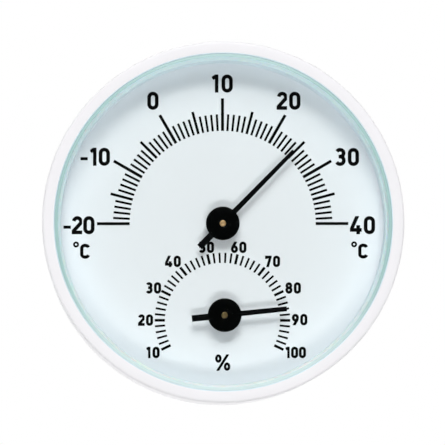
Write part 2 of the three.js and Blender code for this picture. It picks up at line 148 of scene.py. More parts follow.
def colour(name, description, code):
    """A colour that a user can change."""
    kept = {"default": linear(code), "subtype": "COLOR", "min": 0, "max": 1}
    return FloatVectorProperty(name=name, description=description, **kept)


def amount(name, description, default):
    """A plain number that a user can change."""
    return FloatProperty(name=name, description=description, default=default)


def count(name, description, default):
    """A whole number that a user can change."""
    return IntProperty(name=name, description=description, default=default, min=1)


class CaseSizes(bpy.types.PropertyGroup):
    """Sizes of the drum, the lens in its rim and the cover on its back."""

    bore: length("Bore", "Radius of the drum's inside", 33)
    pocket: length("Lens pocket", "Radius of the pocket that the lens lies in", 32.6)
    window: length("Window", "Radius of the opening over the dial", 31.4)
    rim_rounding: length("Rim rounding", "Radius of the rim's outer edge", 0.5)
    rim_lip: length("Rim lip", "Radius of the rim's inner edge, beside the lens", 0.3)
    edge: length("Moulded edge", "Radius of the small edges of the mouldings", 0.15)
    parting: length("Parting groove", "Chamfer on both sides of the joint of case and cover", 0.3)
    draft: length("Draft", "How much narrower the drum is at its back than at its rim", 0.15)
    lens_gap: length("Lens gap", "Gap round the lens, drawn narrower than the CAD's 0.1 mm", 0.02)
    lens_bevel: length("Lens bevel", "Width of the ground bevel round the lens", 0.5)
    seal_bore: length("Seal bore", "Inner radius of the seal under the lens", 31.5)
    cover_thickness: length("Cover thickness", "Thickness of the rear cover's disc", 2)
    cover_rounding: length("Cover rounding", "Radius of the rear cover's outer edge", 0.8)
    lip_radius: length("Lip radius", "Outer radius of the cover's locating lip", 32.7)
    lip_wall: length("Lip wall", "Thickness of the cover's locating lip", 1.2)
    boss_radius: length("Screw boss", "Radius of the bosses round the cover's screws", 3.4)
    vent_count: count("Vents", "Number of vent slots in the cover", 15)
    vent_spread: amount("Vent spread", "Degrees from the first vent to the last", 252)
    vent_inner: length("Vent start", "Distance of a vent's inner end from the middle", 14)
    vent_outer: length("Vent end", "Distance of a vent's outer end from the middle", 24.5)
    vent_width: length("Vent width", "Width of a vent slot", 1.8)
    keyhole_entry: length("Keyhole entry", "Radius of the keyhole's round entry", 4.4)
    keyhole_slot: length("Keyhole slot", "Width of the keyhole's slot", 4.6)
    keyhole_height: length("Hanging height", "Height of the hanging point over the middle", 22.5)
    keyhole_drop: length("Keyhole drop", "Distance from the entry's middle to the hanging point", 7)
    mouth: length("Opening edge", "Rounding of the openings in the back", 0.25)


class DialSizes(bpy.types.PropertyGroup):
    """Sizes of the dial's print and of the hands over it."""

    ink: length("Ink", "How far the printed ink stands off the dial", 0.02)
    temperature_inner: length("Temperature scale", "Inner radius of the temperature scale", 18.1)
    temperature_rise: length("Temperature centre", "How far the scale's centre lies over the middle", 0.09)
    temperature_shift: length("Temperature offset", "How far that centre lies to the right", 0.05)
    temperature_turn: amount("Temperature turn", "Degrees that the scale is printed anticlockwise", 0.12)
    temperature_minor: length("Degree mark", "Length of a mark at each degree", 3.25)
    temperature_mid: length("Five-degree mark", "Length of a mark at each fifth degree", 4.48)
    temperature_major: length("Ten-degree mark", "Length of a mark at each tenth degree", 6.36)
    humidity_inner: length("Humidity scale", "Inner radius of the humidity scale", 11.18)
    humidity_mark: length("Humidity mark", "Length of a mark on the humidity scale", 2.0)
    humidity_drop: length("Humidity centre", "How far the scale's centre lies under the middle", 18.74)
    fine_mark: length("Fine mark", "Width of the marks at each degree", 0.43)
    large_numeral: length("Large numeral", "Height of the temperature numerals", 3.54)
    large_weight: amount("Large weight", "Stroke of the temperature numerals for their height", 0.203)
    small_numeral: length("Small numeral", "Height of the humidity numerals", 2.24)
    small_weight: amount("Small weight", "Stroke of the humidity numerals for their height", 0.24)
    sign_weight: amount("Sign weight", "Stroke of the unit signs for their height", 0.22)
    bush_hole: length("Bush hole", "Radius of the dial's holes for the bushes", 1.7)
    hub: length("Hub", "Radius of the round hub on a pointer", 3.28)
    hub_edge: length("Hub edge", "Rounding of a hub's edge", 0.15)
    blade_root: length("Blade root", "Width of a pointer's blade at the hub", 1.06)
    tail: length("Tail", "Width of a pointer's tail", 1.26)
    eye: length("Eye", "Radius of the hole in a pointer", 1.45)
    eye_outer: length("Eye outside", "Outer radius of a pointer's eye", 2.25)


class Finishes(bpy.types.PropertyGroup):
    """Colours of the materials."""

    abs_white: colour("White ABS", "Case and rear cover", "#f2f1f4")
    # Painted light: the wall's greenish tint stands in for the light that comes out of the pane's edge
    abs_in_painted_pane_light: colour("White ABS in painted pane light", "Wall round the lens and down to the dial", "#d8e8f0")
    abs_ivory: colour("Off-white ABS", "Frame behind the dial", "#e2e1dc")
    enamel: colour("Enamel", "Dial", "#f1f4fa")
    ink_black: colour("Ink", "Printed scales and numerals", "#020202")
    glass_tint: colour("Glass", "What the lens lets through", "#fefffe")
    glass_edge: colour("Glass edge", "Ground edge of the lens", "#a6c9c7")
    # Painted light: the lens edge's lower shade is paler, where more light reaches its lowest part
    glass_edge_lit: colour("Lower glass edge", "Ground edge of the lens at its lowest", "#d9ecec")
    silicone: colour("Silicone", "Seal under the lens", "#d3e5ea")
    # Painted light: the seal's lower shade is paler, where more light reaches its lowest part
    silicone_lit: colour("Lower silicone", "Seal under the lens at its lowest", "#f8fdfe")
    pointer_paint: colour("Pointer paint", "Pointers", "#060708")
    hub_plastic: colour("Hub plastic", "Hubs", "#020303")
    brass: colour("Brass", "Thermometer's staff, bush, collet and stud", "#c9a679")
    aged_brass: colour("Aged brass", "Hygrometer's staff, bush, collet and stud", "#776747")
    zinc: colour("Zinc", "Screws", "#c9ccd0")
    steel: colour("Steel", "Bridges", "#b8babd")
    bimetal: colour("Bimetal", "Thermometer coil", "#b9b2a4")
    film: colour("Film", "Humidity film on the hygrometer coil", "#b0905c")
    floor: colour("Floor", "Studio floor", "#f2f2f0")


class StageSettings(bpy.types.PropertyGroup):
    """The camera and the light."""

    camera_distance: length("Camera distance", "From the camera to the rim", 1000)
    camera_azimuth: amount("Camera azimuth", "Degrees to the right of straight ahead", -1.38)
    camera_elevation: amount("Camera elevation", "Degrees over straight ahead", -3.4)
    frame_width: length("Frame width", "How much of the rim's plane the picture spans", 85.9)
    aim_x: length("Aim across", "Where the camera aims, across the rim", -0.185)
    aim_z: length("Aim up", "Where the camera aims, up the rim", -0.164)
    key: amount("Key light", "Power of the light from above, in watts", 9.8)
    scrim: amount("Scrim", "Power of the wide light further up, in watts", 8.0)
    fill: amount("Fill light", "Power of the light from below, in watts", 2.4)
    front: amount("Front light", "Power of the light round the camera, in watts", 1.9)
    rear: amount("Rear light", "Power of the light behind the instrument, in watts", 1.2)
    floor_wash: amount("Floor wash", "Power of the light on the floor, in watts", 120.0)
    ambient: amount("Ambient light", "Radiance of the room before the instrument, low down", 0.04)
    ceiling: amount("Ceiling", "Radiance of the room before the instrument, high up", 0.1)
    mirrored: amount("Mirrored room", "Radiance of that room where a gloss mirrors it", 0.004)
    backdrop: amount("Backdrop", "Radiance of the white backdrop behind the instrument", 1.0)
    surround: amount("Surround", "Radiance of the lit sides of the studio, low down, as a light", 3.2)
    surround_top: amount("Upper surround", "Radiance of those sides, high up, as a light", 1.2)
    rear_wall: amount("Rear wall", "Radiance of the wall far behind the instrument, as a light", 0.65)
    floor_drop: length("Floor drop", "How far the floor lies under the middle of the case", 700)


SETTINGS = {
    "instrument_case": CaseSizes,
    "instrument_dial": DialSizes,
    "instrument_finish": Finishes,
    "instrument_stage": StageSettings,
}


def node(tree, kind, inputs=None, out=None, **settings):
    """Adds a node with its settings, links or sets its inputs, and gives the output named or else its first.

    Inputs go by their names or places. A list links several sockets to one input.
    """
    made = tree.nodes.new(kind)
    for name, value in settings.items():
        setattr(made, name, value)
    for key, value in (inputs or {}).items():
        for source in value if isinstance(value, list) else [value]:
            if isinstance(source, bpy.types.NodeSocket):
                tree.links.new(source, made.inputs[key])
            else:
                made.inputs[key].default_value = source
    if out:
        return made.outputs[out]
    return next((socket for socket in made.outputs if socket.enabled), None)


# Materials


def new_material(name):
    """A material with an empty tree, that tree, and the place on the piece that its patterns follow."""
    material = bpy.data.materials.new(name)
    material.use_nodes = True
    tree = material.node_tree
    tree.nodes.clear()
    return material, tree, node(tree, "ShaderNodeTexCoord", out="Object")


def per_metre(millimetres):
    """The scale at which a pattern on Object coordinates repeats every so many millimetres."""
    return 1 / (millimetres * MM)


def repeats(place, millimetres, detail):
    """The inputs of a pattern whose spots are about so many millimetres across."""
    return {"Vector": place, "Scale": per_metre(millimetres), "Detail": detail}


def shaded(tint, share=1):
    """A colour made darker or lighter by a share, with full alpha as node sockets take it."""
    return (*[min(1, channel * share) for channel in tint], 1)


def span(value, low, high, at_low, at_high):
    """The inputs of a range that takes a value between two limits to between two others."""
    return {"Value": value, "From Min": low, "From Max": high, "To Min": at_low, "To Max": at_high}


def by_height(tree, place, *limits):
    """A value that changes softly with the height over the middle of the case."""
    height = node(tree, "ShaderNodeSeparateXYZ", {"Vector": place}, "Z")
    return node(tree, "ShaderNodeMapRange", span(height, *limits), **SOFTLY)


def coated(tree, base, pattern, gloss, relief=None, more=None):
    """Ends a material: a pattern sets its roughness and its relief, which is a strength and a depth in mm."""
    rough = node(tree, "ShaderNodeMapRange", {"Value": pattern, "To Min": gloss[0], "To Max": gloss[1]})
    inputs = {"Base Color": base, "Roughness": rough} | (more or {})
    if relief:
        bump = {"Height": pattern, "Strength": relief[0], "Distance": relief[1] * MM}
        inputs["Normal"] = node(tree, "ShaderNodeBump", bump)
    surface = node(tree, "ShaderNodeBsdfPrincipled", inputs)
    node(tree, "ShaderNodeOutputMaterial", {"Surface": surface})


def tinted(tree, tint, drift, shades, pattern, **finish):
    """Ends a material whose tint drifts between two shades of itself."""
    ends = {0: drift, 6: shaded(tint, shades[0]), 7: shaded(tint, shades[1])}
    coated(tree, node(tree, "ShaderNodeMix", ends, data_type="RGBA"), pattern, **finish)


def moulded_abs(name, tint, glow=None):
    """ABS from a spark-eroded mould: an even satin surface whose fine grain spreads every highlight.

    The glow, at the bottom and at the top of the case, is painted light: an emission that stands in for the
    light that comes out of the pane's edge.
    """
    material, tree, place = new_material(name)
    # Slow drifts of tone where the melt flowed, about 11 mm long
    flow = node(tree, "ShaderNodeTexNoise", repeats(place, 11, 2))
    # The grain is about 0.1 mm, and is drawn at 0.35 mm so that it shows
    grain = node(tree, "ShaderNodeTexNoise", repeats(place, 0.35, 3))
    more = {"IOR": 1.53}
    # Painted glow: the plastic emits its own tint, more strongly towards the top of the case
    if glow:
        more["Emission Color"] = shaded(tint)
        more["Emission Strength"] = by_height(tree, place, -CASE_RADIUS, CASE_RADIUS, *glow)
    tinted(tree, tint, flow, (0.975, 1.02), grain, gloss=(0.4, 0.58), relief=(0.2, 0.02), more=more)
    return material


def float_glass(tint):
    """Polished float glass: clear, with a mirror-like front that shows faint wipe marks at a glance."""
    material, tree, place = new_material("Float glass, polished")
    # Wipe marks about 6 mm wide, drawn out across the pane
    drawn = {"Vector": place, "Scale": (0.3, 1, 1), "Rotation": (0, 0.6, 0)}
    streaks = node(tree, "ShaderNodeMapping", drawn)
    wiped = node(tree, "ShaderNodeTexNoise", repeats(streaks, 6, 3))
    gloss = node(tree, "ShaderNodeMapRange", {"Value": wiped, "To Min": 0.01, "To Max": 0.07})
    # Rays run straight on in the pane, so its rear face mirrors only the share of a ray that meets it head on
    front_share = node(tree, "ShaderNodeFresnel", {"IOR": 1.5})
    inside = node(tree, "ShaderNodeNewGeometry", out="Backfacing")
    share = node(tree, "ShaderNodeMix", {0: inside, 2: front_share, 3: 0.04}, data_type="FLOAT")
    clear = node(tree, "ShaderNodeBsdfTransparent", {"Color": shaded(tint)})
    mirror = node(tree, "ShaderNodeBsdfAnisotropic", {"Roughness": gloss})
    pane = node(tree, "ShaderNodeMixShader", {0: share, 1: clear, 2: mirror})
    node(tree, "ShaderNodeOutputMaterial", {"Surface": pane})
    return material


def ground_glass(tint, lit_tint):
    """A ground glass edge: frosted, and greenish because the eye looks along the pane and not through it.

    Painted light: the edge is painted paler at its lowest part, and a little at its highest, for the light
    that the pane carries there. Painted shade darkens the outermost part, where it lies over the dark of the
    pocket.
    """
    material, tree, place = new_material("Float glass, ground edge")
    # Painted light makes the edge paler at its lowest part, and a little at its highest
    below = by_height(tree, place, -LENS_RADIUS, -0.2 * LENS_RADIUS, 1, 0)
    above = by_height(tree, place, 0.7 * LENS_RADIUS, LENS_RADIUS, 0, 0.2)
    painted_light = node(tree, "ShaderNodeMath", {0: below, 1: above}, operation="ADD")
    lit = node(tree, "ShaderNodeMix", {0: painted_light, 6: shaded(tint), 7: shaded(lit_tint)}, data_type="RGBA")
    flat = node(tree, "ShaderNodeVectorMath", {0: place, 1: (1, 0, 1)}, operation="MULTIPLY")
    radius = node(tree, "ShaderNodeVectorMath", {0: flat}, "Value", operation="LENGTH")
    # Painted shade: the outermost part of the edge is darker
    outermost = span(radius, LENS_RADIUS - 0.4 * MM, LENS_RADIUS, 1, 0.92)
    pocket_shade = node(tree, "ShaderNodeMapRange", outermost, **SOFTLY)
    with_painted_shade = node(tree, "ShaderNodeMix", {0: 1, 6: lit, 7: pocket_shade}, data_type="RGBA", blend_type="MULTIPLY")
    # The grinding wheel's marks, about 0.2 mm, drawn at 0.5 mm so that they show
    marks = node(tree, "ShaderNodeTexNoise", repeats(place, 0.5, 4))
    coated(tree, with_painted_shade, marks, gloss=(0.3, 0.5), relief=(0.2, 0.02), more={"IOR": 1.5})
    return material


def moulded_silicone(tint, lit_tint):
    """Moulded silicone: milky and soft, so light that enters it comes out a little further on.

    It glows with painted light, an emission that stands in for the light that the pane above it carries, most
    of all in the shade of the upper rim. Its tint is painted paler towards the bottom, where more light
    reaches it.
    """
    material, tree, place = new_material("Silicone, moulded")
    cloud = node(tree, "ShaderNodeTexNoise", repeats(place, 2.5, 2))
    # Painted light: the seal's tint is paler towards the bottom
    below = by_height(tree, place, -SEAL_RADIUS, 0, 1, 0)
    base = node(tree, "ShaderNodeMix", {0: below, 6: shaded(tint), 7: shaded(lit_tint)}, data_type="RGBA")
    thin = node(tree, "ShaderNodeMapRange", {"Value": cloud, "To Min": 0.94, "To Max": 1.04})
    milk = node(tree, "ShaderNodeMix", {0: 1, 6: base, 7: thin}, data_type="RGBA", blend_type="MULTIPLY")
    more = {"IOR": 1.41, "Subsurface Weight": 0.3, "Subsurface Scale": 0.4 * MM}
    more["Emission Color"] = shaded(tint)
    # Painted glow, stronger towards the top
    more["Emission Strength"] = by_height(tree, place, -0.3 * SEAL_RADIUS, SEAL_RADIUS, 0.08, 0.4)
    coated(tree, milk, cloud, gloss=(0.4, 0.6), more=more)
    return material


def stoved_enamel(tint):
    """Stoved enamel on sheet: a cool white with the shallow waves that a sprayed coat dries to."""
    material, tree, place = new_material("Enamel, sprayed and stoved")
    # Sprayed coats dry to waves of about 0.8 mm, and drift in tone over about 14 mm
    waves = node(tree, "ShaderNodeTexNoise", repeats(place, 0.8, 2))
    coat = node(tree, "ShaderNodeTexNoise", repeats(place, 14, 2))
    tinted(tree, tint, coat, (0.985, 1.015), waves, gloss=(0.45, 0.6), relief=(0.1, 0.02))
    return material


def black_coat(name, tint, roughness, shine, ripple):
    """A black coat or moulding: nearly no light comes back, so only its soft shine shows the form."""
    material, tree, place = new_material(name)
    skin = node(tree, "ShaderNodeTexNoise", repeats(place, ripple, 3))
    gloss = (roughness * 0.8, roughness * 1.2)
    more = {"Specular IOR Level": shine}
    tinted(tree, tint, skin, (0.7, 1.4), skin, gloss=gloss, relief=(0.15, 0.02), more=more)
    return material


def turned_brass(name, tint, centre):
    """Turned brass: the tool leaves fine rings about the axis, which draw the light out into arcs."""
    material, tree, place = new_material(name)
    about = node(tree, "ShaderNodeMapping", {"Vector": place, "Location": (-centre.x, 0, -centre.y)})
    # Tool marks are about 0.05 mm apart, drawn wider so that they show. A wave runs 20 times its scale's rate
    wave_rate = 20
    marks = {"Vector": about, "Scale": per_metre(0.15) / wave_rate, "Distortion": 1.5, "Detail": 2}
    rings = node(tree, "ShaderNodeTexWave", marks, "Fac", wave_type="RINGS", rings_direction="Y")
    more = {"Metallic": 1}
    tinted(tree, tint, rings, (0.85, 1.1), rings, gloss=(0.3, 0.45), relief=(0.3, 0.01), more=more)
    return material


def rolled_metal(name, tint, line, stretch, roughness):
    """Rolled or plated metal: lines or spangles of slightly different gloss, as long as it is stretched."""
    material, tree, place = new_material(name)
    drawn = node(tree, "ShaderNodeMapping", {"Vector": place, "Scale": stretch})
    lines = node(tree, "ShaderNodeTexNoise", repeats(drawn, line, 4))
    gloss = (roughness - 0.1, roughness + 0.12)
    more = {"Metallic": 1}
    tinted(tree, tint, lines, (0.82, 1.12), lines, gloss=gloss, relief=(0.2, 0.01), more=more)
    return material


def coated_film(tint):
    """Metal strip coated with humidity film: a dull tan skin, thicker in some places than in others."""
    material, tree, place = new_material("Humidity film, brushed on strip")
    patches = node(tree, "ShaderNodeTexNoise", repeats(place, 1.2, 4))
    tinted(tree, tint, patches, (0.75, 1.2), patches, gloss=(0.45, 0.7))
    return material


def matt_paint(tint):
    """Matt painted board: plain and pale, with only a trace of the roller."""
    material, tree, place = new_material("Matt paint, rolled")
    roller = node(tree, "ShaderNodeTexNoise", repeats(place, 4, 2))
    tinted(tree, tint, roller, (0.99, 1.01), roller, gloss=(0.8, 0.8))
    return material


# Outlines


def arc(centre, radius, start, end, steps):
    """Points of an arc about a centre, between two angles in degrees. The radius may differ across and up."""
    wide, high = radius if isinstance(radius, tuple) else (radius, radius)
    angles = [math.radians(start + (end - start) * i / steps) for i in range(steps + 1)]
    return [Vector((centre[0] + wide * math.cos(a), centre[1] + high * math.sin(a))) for a in angles]


def ring(centre, radius, steps):
    """A closed loop of points round a centre."""
    return arc(centre, radius, 0, 360, steps)[:-1]


def eased(corners):
    """A closed outline from (across, along, rounding) corners, each rounded by its own radius."""
    points = []
    for i, (x, y, rounding) in enumerate(corners):
        here = Vector((x, y))
        if not rounding:
            points.append(here)
            continue
        before = (Vector(corners[i - 1][:2]) - here).normalized()
        after = (Vector(corners[(i + 1) % len(corners)][:2]) - here).normalized()
        half = before.angle(after) / 2
        middle = here + (before + after).normalized() * (rounding / math.sin(half))
        start = here + before * (rounding / math.tan(half)) - middle
        end = here + after * (rounding / math.tan(half)) - middle
        steps = range(EASING_STEPS + 1)
        points += [middle + start.slerp(end, k / EASING_STEPS) * rounding for k in steps]
    return points


def inset(loop, distance):
    """A closed loop moved to its left by a distance, with mitred corners."""
    moved = []
    for i, point in enumerate(loop):
        arriving = (point - loop[i - 1]).normalized().orthogonal()
        leaving = (loop[(i + 1) % len(loop)] - point).normalized().orthogonal()
        left = (arriving + leaving).normalized()
        moved.append(point + left * (distance / left.dot(arriving)))
    return moved


def clockwise(points, degrees, centre):
    """Points turned clockwise about the origin and then moved to a centre."""
    turn = Matrix.Rotation(-math.radians(degrees), 2)
    return [turn @ point + centre for point in points]


# Meshes


def smoothed(mesh):
    """A mesh shaded smooth but for its sharp edges."""
    mesh.shade_smooth()
    mesh.set_sharp_from_angle(angle=SHARP_FROM)
    return mesh


def finished_mesh(build, turn_outwards=True):
    """The mesh of a bmesh, smooth but for its sharp edges."""
    if turn_outwards:
        bmesh.ops.recalc_face_normals(build, faces=build.faces)
    mesh = bpy.data.meshes.new("shape")
    build.to_mesh(mesh)
    build.free()
    return smoothed(mesh)


def lathe(corners, centre=Vector((0, 0)), segments=LARGE_ROUND):
    """A mesh turned about a line along Y, from the (radius, y, rounding) corners of its section."""
    build = bmesh.new()
    rings = []
    outline = eased(corners)
    for radius, y in outline:
        steps = segments if radius > 0 else 1
        angles = [2 * math.pi * i / segments for i in range(steps)]
        spots = [(centre.x + radius * math.cos(a), y, centre.y + radius * math.sin(a)) for a in angles]
        rings.append([build.verts.new(spot) for spot in spots])
    pairs = list(zip(rings, rings[1:]))
    if outline[0].x > 0:
        pairs.append((rings[-1], rings[0]))
    for one, two in pairs:
        for i in range(segments):
            around = ((one, i), (one, i + 1), (two, i + 1), (two, i))
            verts = list(dict.fromkeys(loop[k % len(loop)] for loop, k in around))
            if len(verts) > 2:
                build.faces.new(verts)
    return finished_mesh(build)


def walled(build, loop, steps):
    """Walls along a loop, which moves to its left by a distance at each level, as rings of vertices."""
    rings = [[build.verts.new((p.x, y, p.y)) for p in inset(loop, distance)] for distance, y in steps]
    for one, two in zip(rings, rings[1:]):
        for i in range(len(loop)):
            build.faces.new((one[i - 1], one[i], two[i], two[i - 1]))
    return rings


def plate(outline, holes, front, back, edge):
    """A flat plate with eased edges. Its outline runs anticlockwise and its holes clockwise."""
    build = bmesh.new()
    soft = edge * (1 - math.sqrt(0.5))
    steps = [(edge, front), (soft, front + soft), (0, front + edge)]
    steps += [(0, back - edge), (soft, back - soft), (edge, back)]
    walls = [walled(build, loop, steps) for loop in (outline, *holes)]
    for end in (0, -1):
        rings = [wall[end] for wall in walls]
        verts = [vert for loop in rings for vert in loop]
        for face in tessellate_polygon([[vert.co.xzy for vert in loop] for loop in rings]):
            build.faces.new([verts[i] for i in face])
    return finished_mesh(build)


def flared(outline, front, past, mouth):
    """A cutting tool along an outline that widens in a quarter round where it leaves the back face."""
    turns = [math.pi / 2 * k / EASING_STEPS for k in range(EASING_STEPS + 1)]
    steps = [(0, front)]
    steps += [(-mouth * (1 - math.cos(turn)), BACK_FACE - mouth * (1 - math.sin(turn))) for turn in turns]
    steps += [(-mouth, BACK_FACE + past)]
    build = bmesh.new()
    rings = walled(build, outline, steps)
    build.faces.new(rings[0])
    build.faces.new(rings[-1])
    return finished_mesh(build)


# Print is laid out in millimetres: how close points may lie, and what counts as on an edge
PRINT_TOLERANCE = 1e-4
ON_EDGE = 1e-6


def holds(face, corners, point):
    """Whether a convex face has a point inside it."""
    spots = [corners[i] for i in face]
    sides = [(end - start).cross(point - start) for start, end in zip(spots, spots[1:] + spots[:1])]
    # Where a stroke was trimmed it can have edges of no length, which count for either side
    return min(sides) > -ON_EDGE or max(sides) < ON_EDGE


def raised_print(shapes, front, back):
    """One closed body of ink from flat shapes, which may overlap, between two levels."""
    corners, faces = [], []
    for shape in shapes:
        faces.append(list(range(len(corners), len(corners) + len(shape))))
        corners += [point / MM for point in shape]
    spots, _, triangles, _, _, sources = delaunay_2d_cdt(corners, [], faces, 0, PRINT_TOLERANCE)
    inked = []
    for triangle, inside in zip(triangles, sources):
        middle = (spots[triangle[0]] + spots[triangle[1]] + spots[triangle[2]]) / 3
        if any(holds(faces[i], corners, middle) for i in inside):
            inked.append(triangle)
    used = sorted({i for triangle in inked for i in triangle})
    build = bmesh.new()
    sides = []
    for y in (front, back):
        sides.append({i: build.verts.new((spots[i].x * MM, y, spots[i].y * MM)) for i in used})
    edges = {(a, b) for t in inked for a, b in zip(t, (*t[1:], t[0]))}
    for triangle in inked:
        build.faces.new([sides[0][i] for i in triangle])
        build.faces.new([sides[1][i] for i in reversed(triangle)])
    for a, b in edges:
        if (b, a) not in edges:
            build.faces.new((sides[0][b], sides[0][a], sides[1][a], sides[1][b]))
    return finished_mesh(build)


def placed(name, data):
    """A new object in the scene."""
    made = bpy.data.objects.new(name, data)
    bpy.context.scene.collection.objects.link(made)
    return made


def piece(name, mesh, materials, body, replaced=()):
    """A finished piece: it rides on its body and stands for its CAD nodes, which are hidden."""
    mesh.name = name
    for material in materials:
        mesh.materials.append(material)
    made = placed(name, mesh)
    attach(made, body)
    if replaced:
        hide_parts(*replaced)


# Geometry trees


def geometry_tree(name, **inputs):
    """A geometry tree with inputs named under their kinds, and the sockets that they come out of."""
    tree = bpy.data.node_groups.new(name, "GeometryNodeTree")
    tree.is_modifier = True
    for kind, labels in inputs.items():
        for label in labels:
            tree.interface.new_socket(label, in_out="INPUT", socket_type=f"NodeSocket{kind}")
    tree.interface.new_socket("Geometry", in_out="OUTPUT", socket_type="NodeSocketGeometry")
    return tree, tree.nodes.new("NodeGroupInput").outputs


def end_tree(tree, shape, material):
    """Ends a geometry tree: its copies are made real and get their material."""
    real = node(tree, "GeometryNodeRealizeInstances", {"Geometry": shape})
    painted = node(tree, "GeometryNodeSetMaterial", {"Geometry": real, "Material": material})
    node(tree, "NodeGroupOutput", {"Geometry": painted})


def grown(tree, values, base=None):
    """The plain mesh that a geometry tree makes, from a base mesh where it takes one."""
    holder = placed(tree.name, base or bpy.data.meshes.new(tree.name))
    modifier = holder.modifiers.new(tree.name, "NODES")
    modifier.node_group = tree
    for item in tree.interface.items_tree:
        if item.in_out == "INPUT" and item.name in values:
            modifier[item.identifier] = values[item.name]
    graph = bpy.context.evaluated_depsgraph_get()
    mesh = bpy.data.meshes.new_from_object(holder.evaluated_get(graph), depsgraph=graph)
    bpy.data.objects.remove(holder)
    if not mesh.polygons:
        raise RuntimeError(f"the geometry tree {tree.name} made nothing")
    return mesh


def fan_angles(tree, first, step):
    """The angle of each copy in a fan, in radians, as a field."""
    index = node(tree, "GeometryNodeInputIndex")
    return node(tree, "ShaderNodeMath", {0: index, 1: step, 2: first}, operation="MULTIPLY_ADD")


def on_circle(tree, angle, radius, centre_x=0, centre_z=0, level=0):
    """Where a clockwise angle from upright leads on a circle across the dial."""
    place = {"Y": level}
    for axis, wave, centre in (("X", "SINE", centre_x), ("Z", "COSINE", centre_z)):
        share = node(tree, "ShaderNodeMath", {0: angle}, operation=wave)
        place[axis] = node(tree, "ShaderNodeMath", {0: share, 1: radius, 2: centre}, operation="MULTIPLY_ADD")
    return node(tree, "ShaderNodeCombineXYZ", place)


def copied(tree, shape, copies, angle, spot=(0, 0, 0), size=(1, 1, 1)):
    """Copies of a shape, each turned about the Y axis, at its own spot and size."""
    spin = node(tree, "ShaderNodeCombineXYZ", {"Y": angle})
    turn = node(tree, "FunctionNodeEulerToRotation", {"Euler": spin})
    points = node(tree, "GeometryNodePoints", {"Count": copies, "Position": spot})
    placing = {"Points": points, "Instance": shape, "Rotation": turn, "Scale": size}
    return node(tree, "GeometryNodeInstanceOnPoints", placing)


def scale_tree():
    """Marks along an arc of the dial, with longer and thicker ones at every fifth and tenth."""
    lengths = ["Inner radius", "Ink height", "Centre X", "Centre Z", "Dial face", "First angle", "Angle step"]
    for grade in ("Minor", "Mid", "Major"):
        lengths += [f"{grade} length", f"{grade} width"]
    counts = ["Marks", "Mid every", "Major every"]
    tree, given = geometry_tree("Dial scale", Float=lengths, Int=counts, Material=["Ink"])
    index = node(tree, "GeometryNodeInputIndex")
    sizes = {}
    for measure in ("length", "width"):
        chosen = given[f"Minor {measure}"]
        for grade in ("Mid", "Major"):
            rest = node(tree, "ShaderNodeMath", {0: index, 1: given[f"{grade} every"]}, operation="MODULO")
            due = node(tree, "ShaderNodeMath", {0: rest, 1: 0.5}, operation="LESS_THAN")
            choices = {"Switch": due, "False": chosen, "True": given[f"{grade} {measure}"]}
            chosen = node(tree, "GeometryNodeSwitch", choices, input_type="FLOAT")
        sizes[measure] = chosen
    halfway = {0: sizes["length"], 1: 0.5, 2: given["Inner radius"]}
    middle = node(tree, "ShaderNodeMath", halfway, operation="MULTIPLY_ADD")
    angle = fan_angles(tree, given["First angle"], given["Angle step"])
    spot = on_circle(tree, angle, middle, given["Centre X"], given["Centre Z"], given["Dial face"])
    # Half of a mark lies in the dial, so it is drawn at twice the height of the ink
    through = node(tree, "ShaderNodeMath", {0: given["Ink height"], 1: 2}, operation="MULTIPLY")
    size = node(tree, "ShaderNodeCombineXYZ", {"X": sizes["width"], "Y": through, "Z": sizes["length"]})
    mark = node(tree, "GeometryNodeMeshCube", {"Size": (1, 1, 1)})
    end_tree(tree, copied(tree, mark, given["Marks"], angle, spot, size), given["Ink"])
    return tree


def cover_tree():
    """The rear cover's openings: a fan of vents, the keyhole and the screws' holes, cut from the disc."""
    tools = ["Vent", "Keyhole", "Boss", "Screw hole"]
    angles = ["First vent", "Vent step", "First screw", "Screw step"]
    given_kinds = {"Geometry": ["Disc"], "Int": ["Vents", "Screws"], "Object": tools, "Float": angles}
    tree, given = geometry_tree("Rear cover", **given_kinds, Material=["Plastic"])
    shapes = {}
    for name in tools:
        shapes[name] = node(tree, "GeometryNodeObjectInfo", {"Object": given[name]}, "Geometry")
    vents = ("Vents", "First vent", "Vent step")
    screws = ("Screws", "First screw", "Screw step")
    for name, (copies, first, step) in {"Vent": vents, "Boss": screws, "Screw hole": screws}.items():
        angle = fan_angles(tree, given[first], given[step])
        fan = copied(tree, shapes[name], given[copies], angle)
        shapes[name] = node(tree, "GeometryNodeRealizeInstances", {"Geometry": fan})
    joined = {"Mesh 2": [given["Disc"], shapes["Boss"]]}
    whole = node(tree, "GeometryNodeMeshBoolean", joined, operation="UNION", solver="EXACT")
    cut = {"Mesh 1": whole, "Mesh 2": [shapes["Vent"], shapes["Keyhole"], shapes["Screw hole"]]}
    opened = node(tree, "GeometryNodeMeshBoolean", cut, operation="DIFFERENCE", solver="EXACT")
    end_tree(tree, opened, given["Plastic"])
    return tree


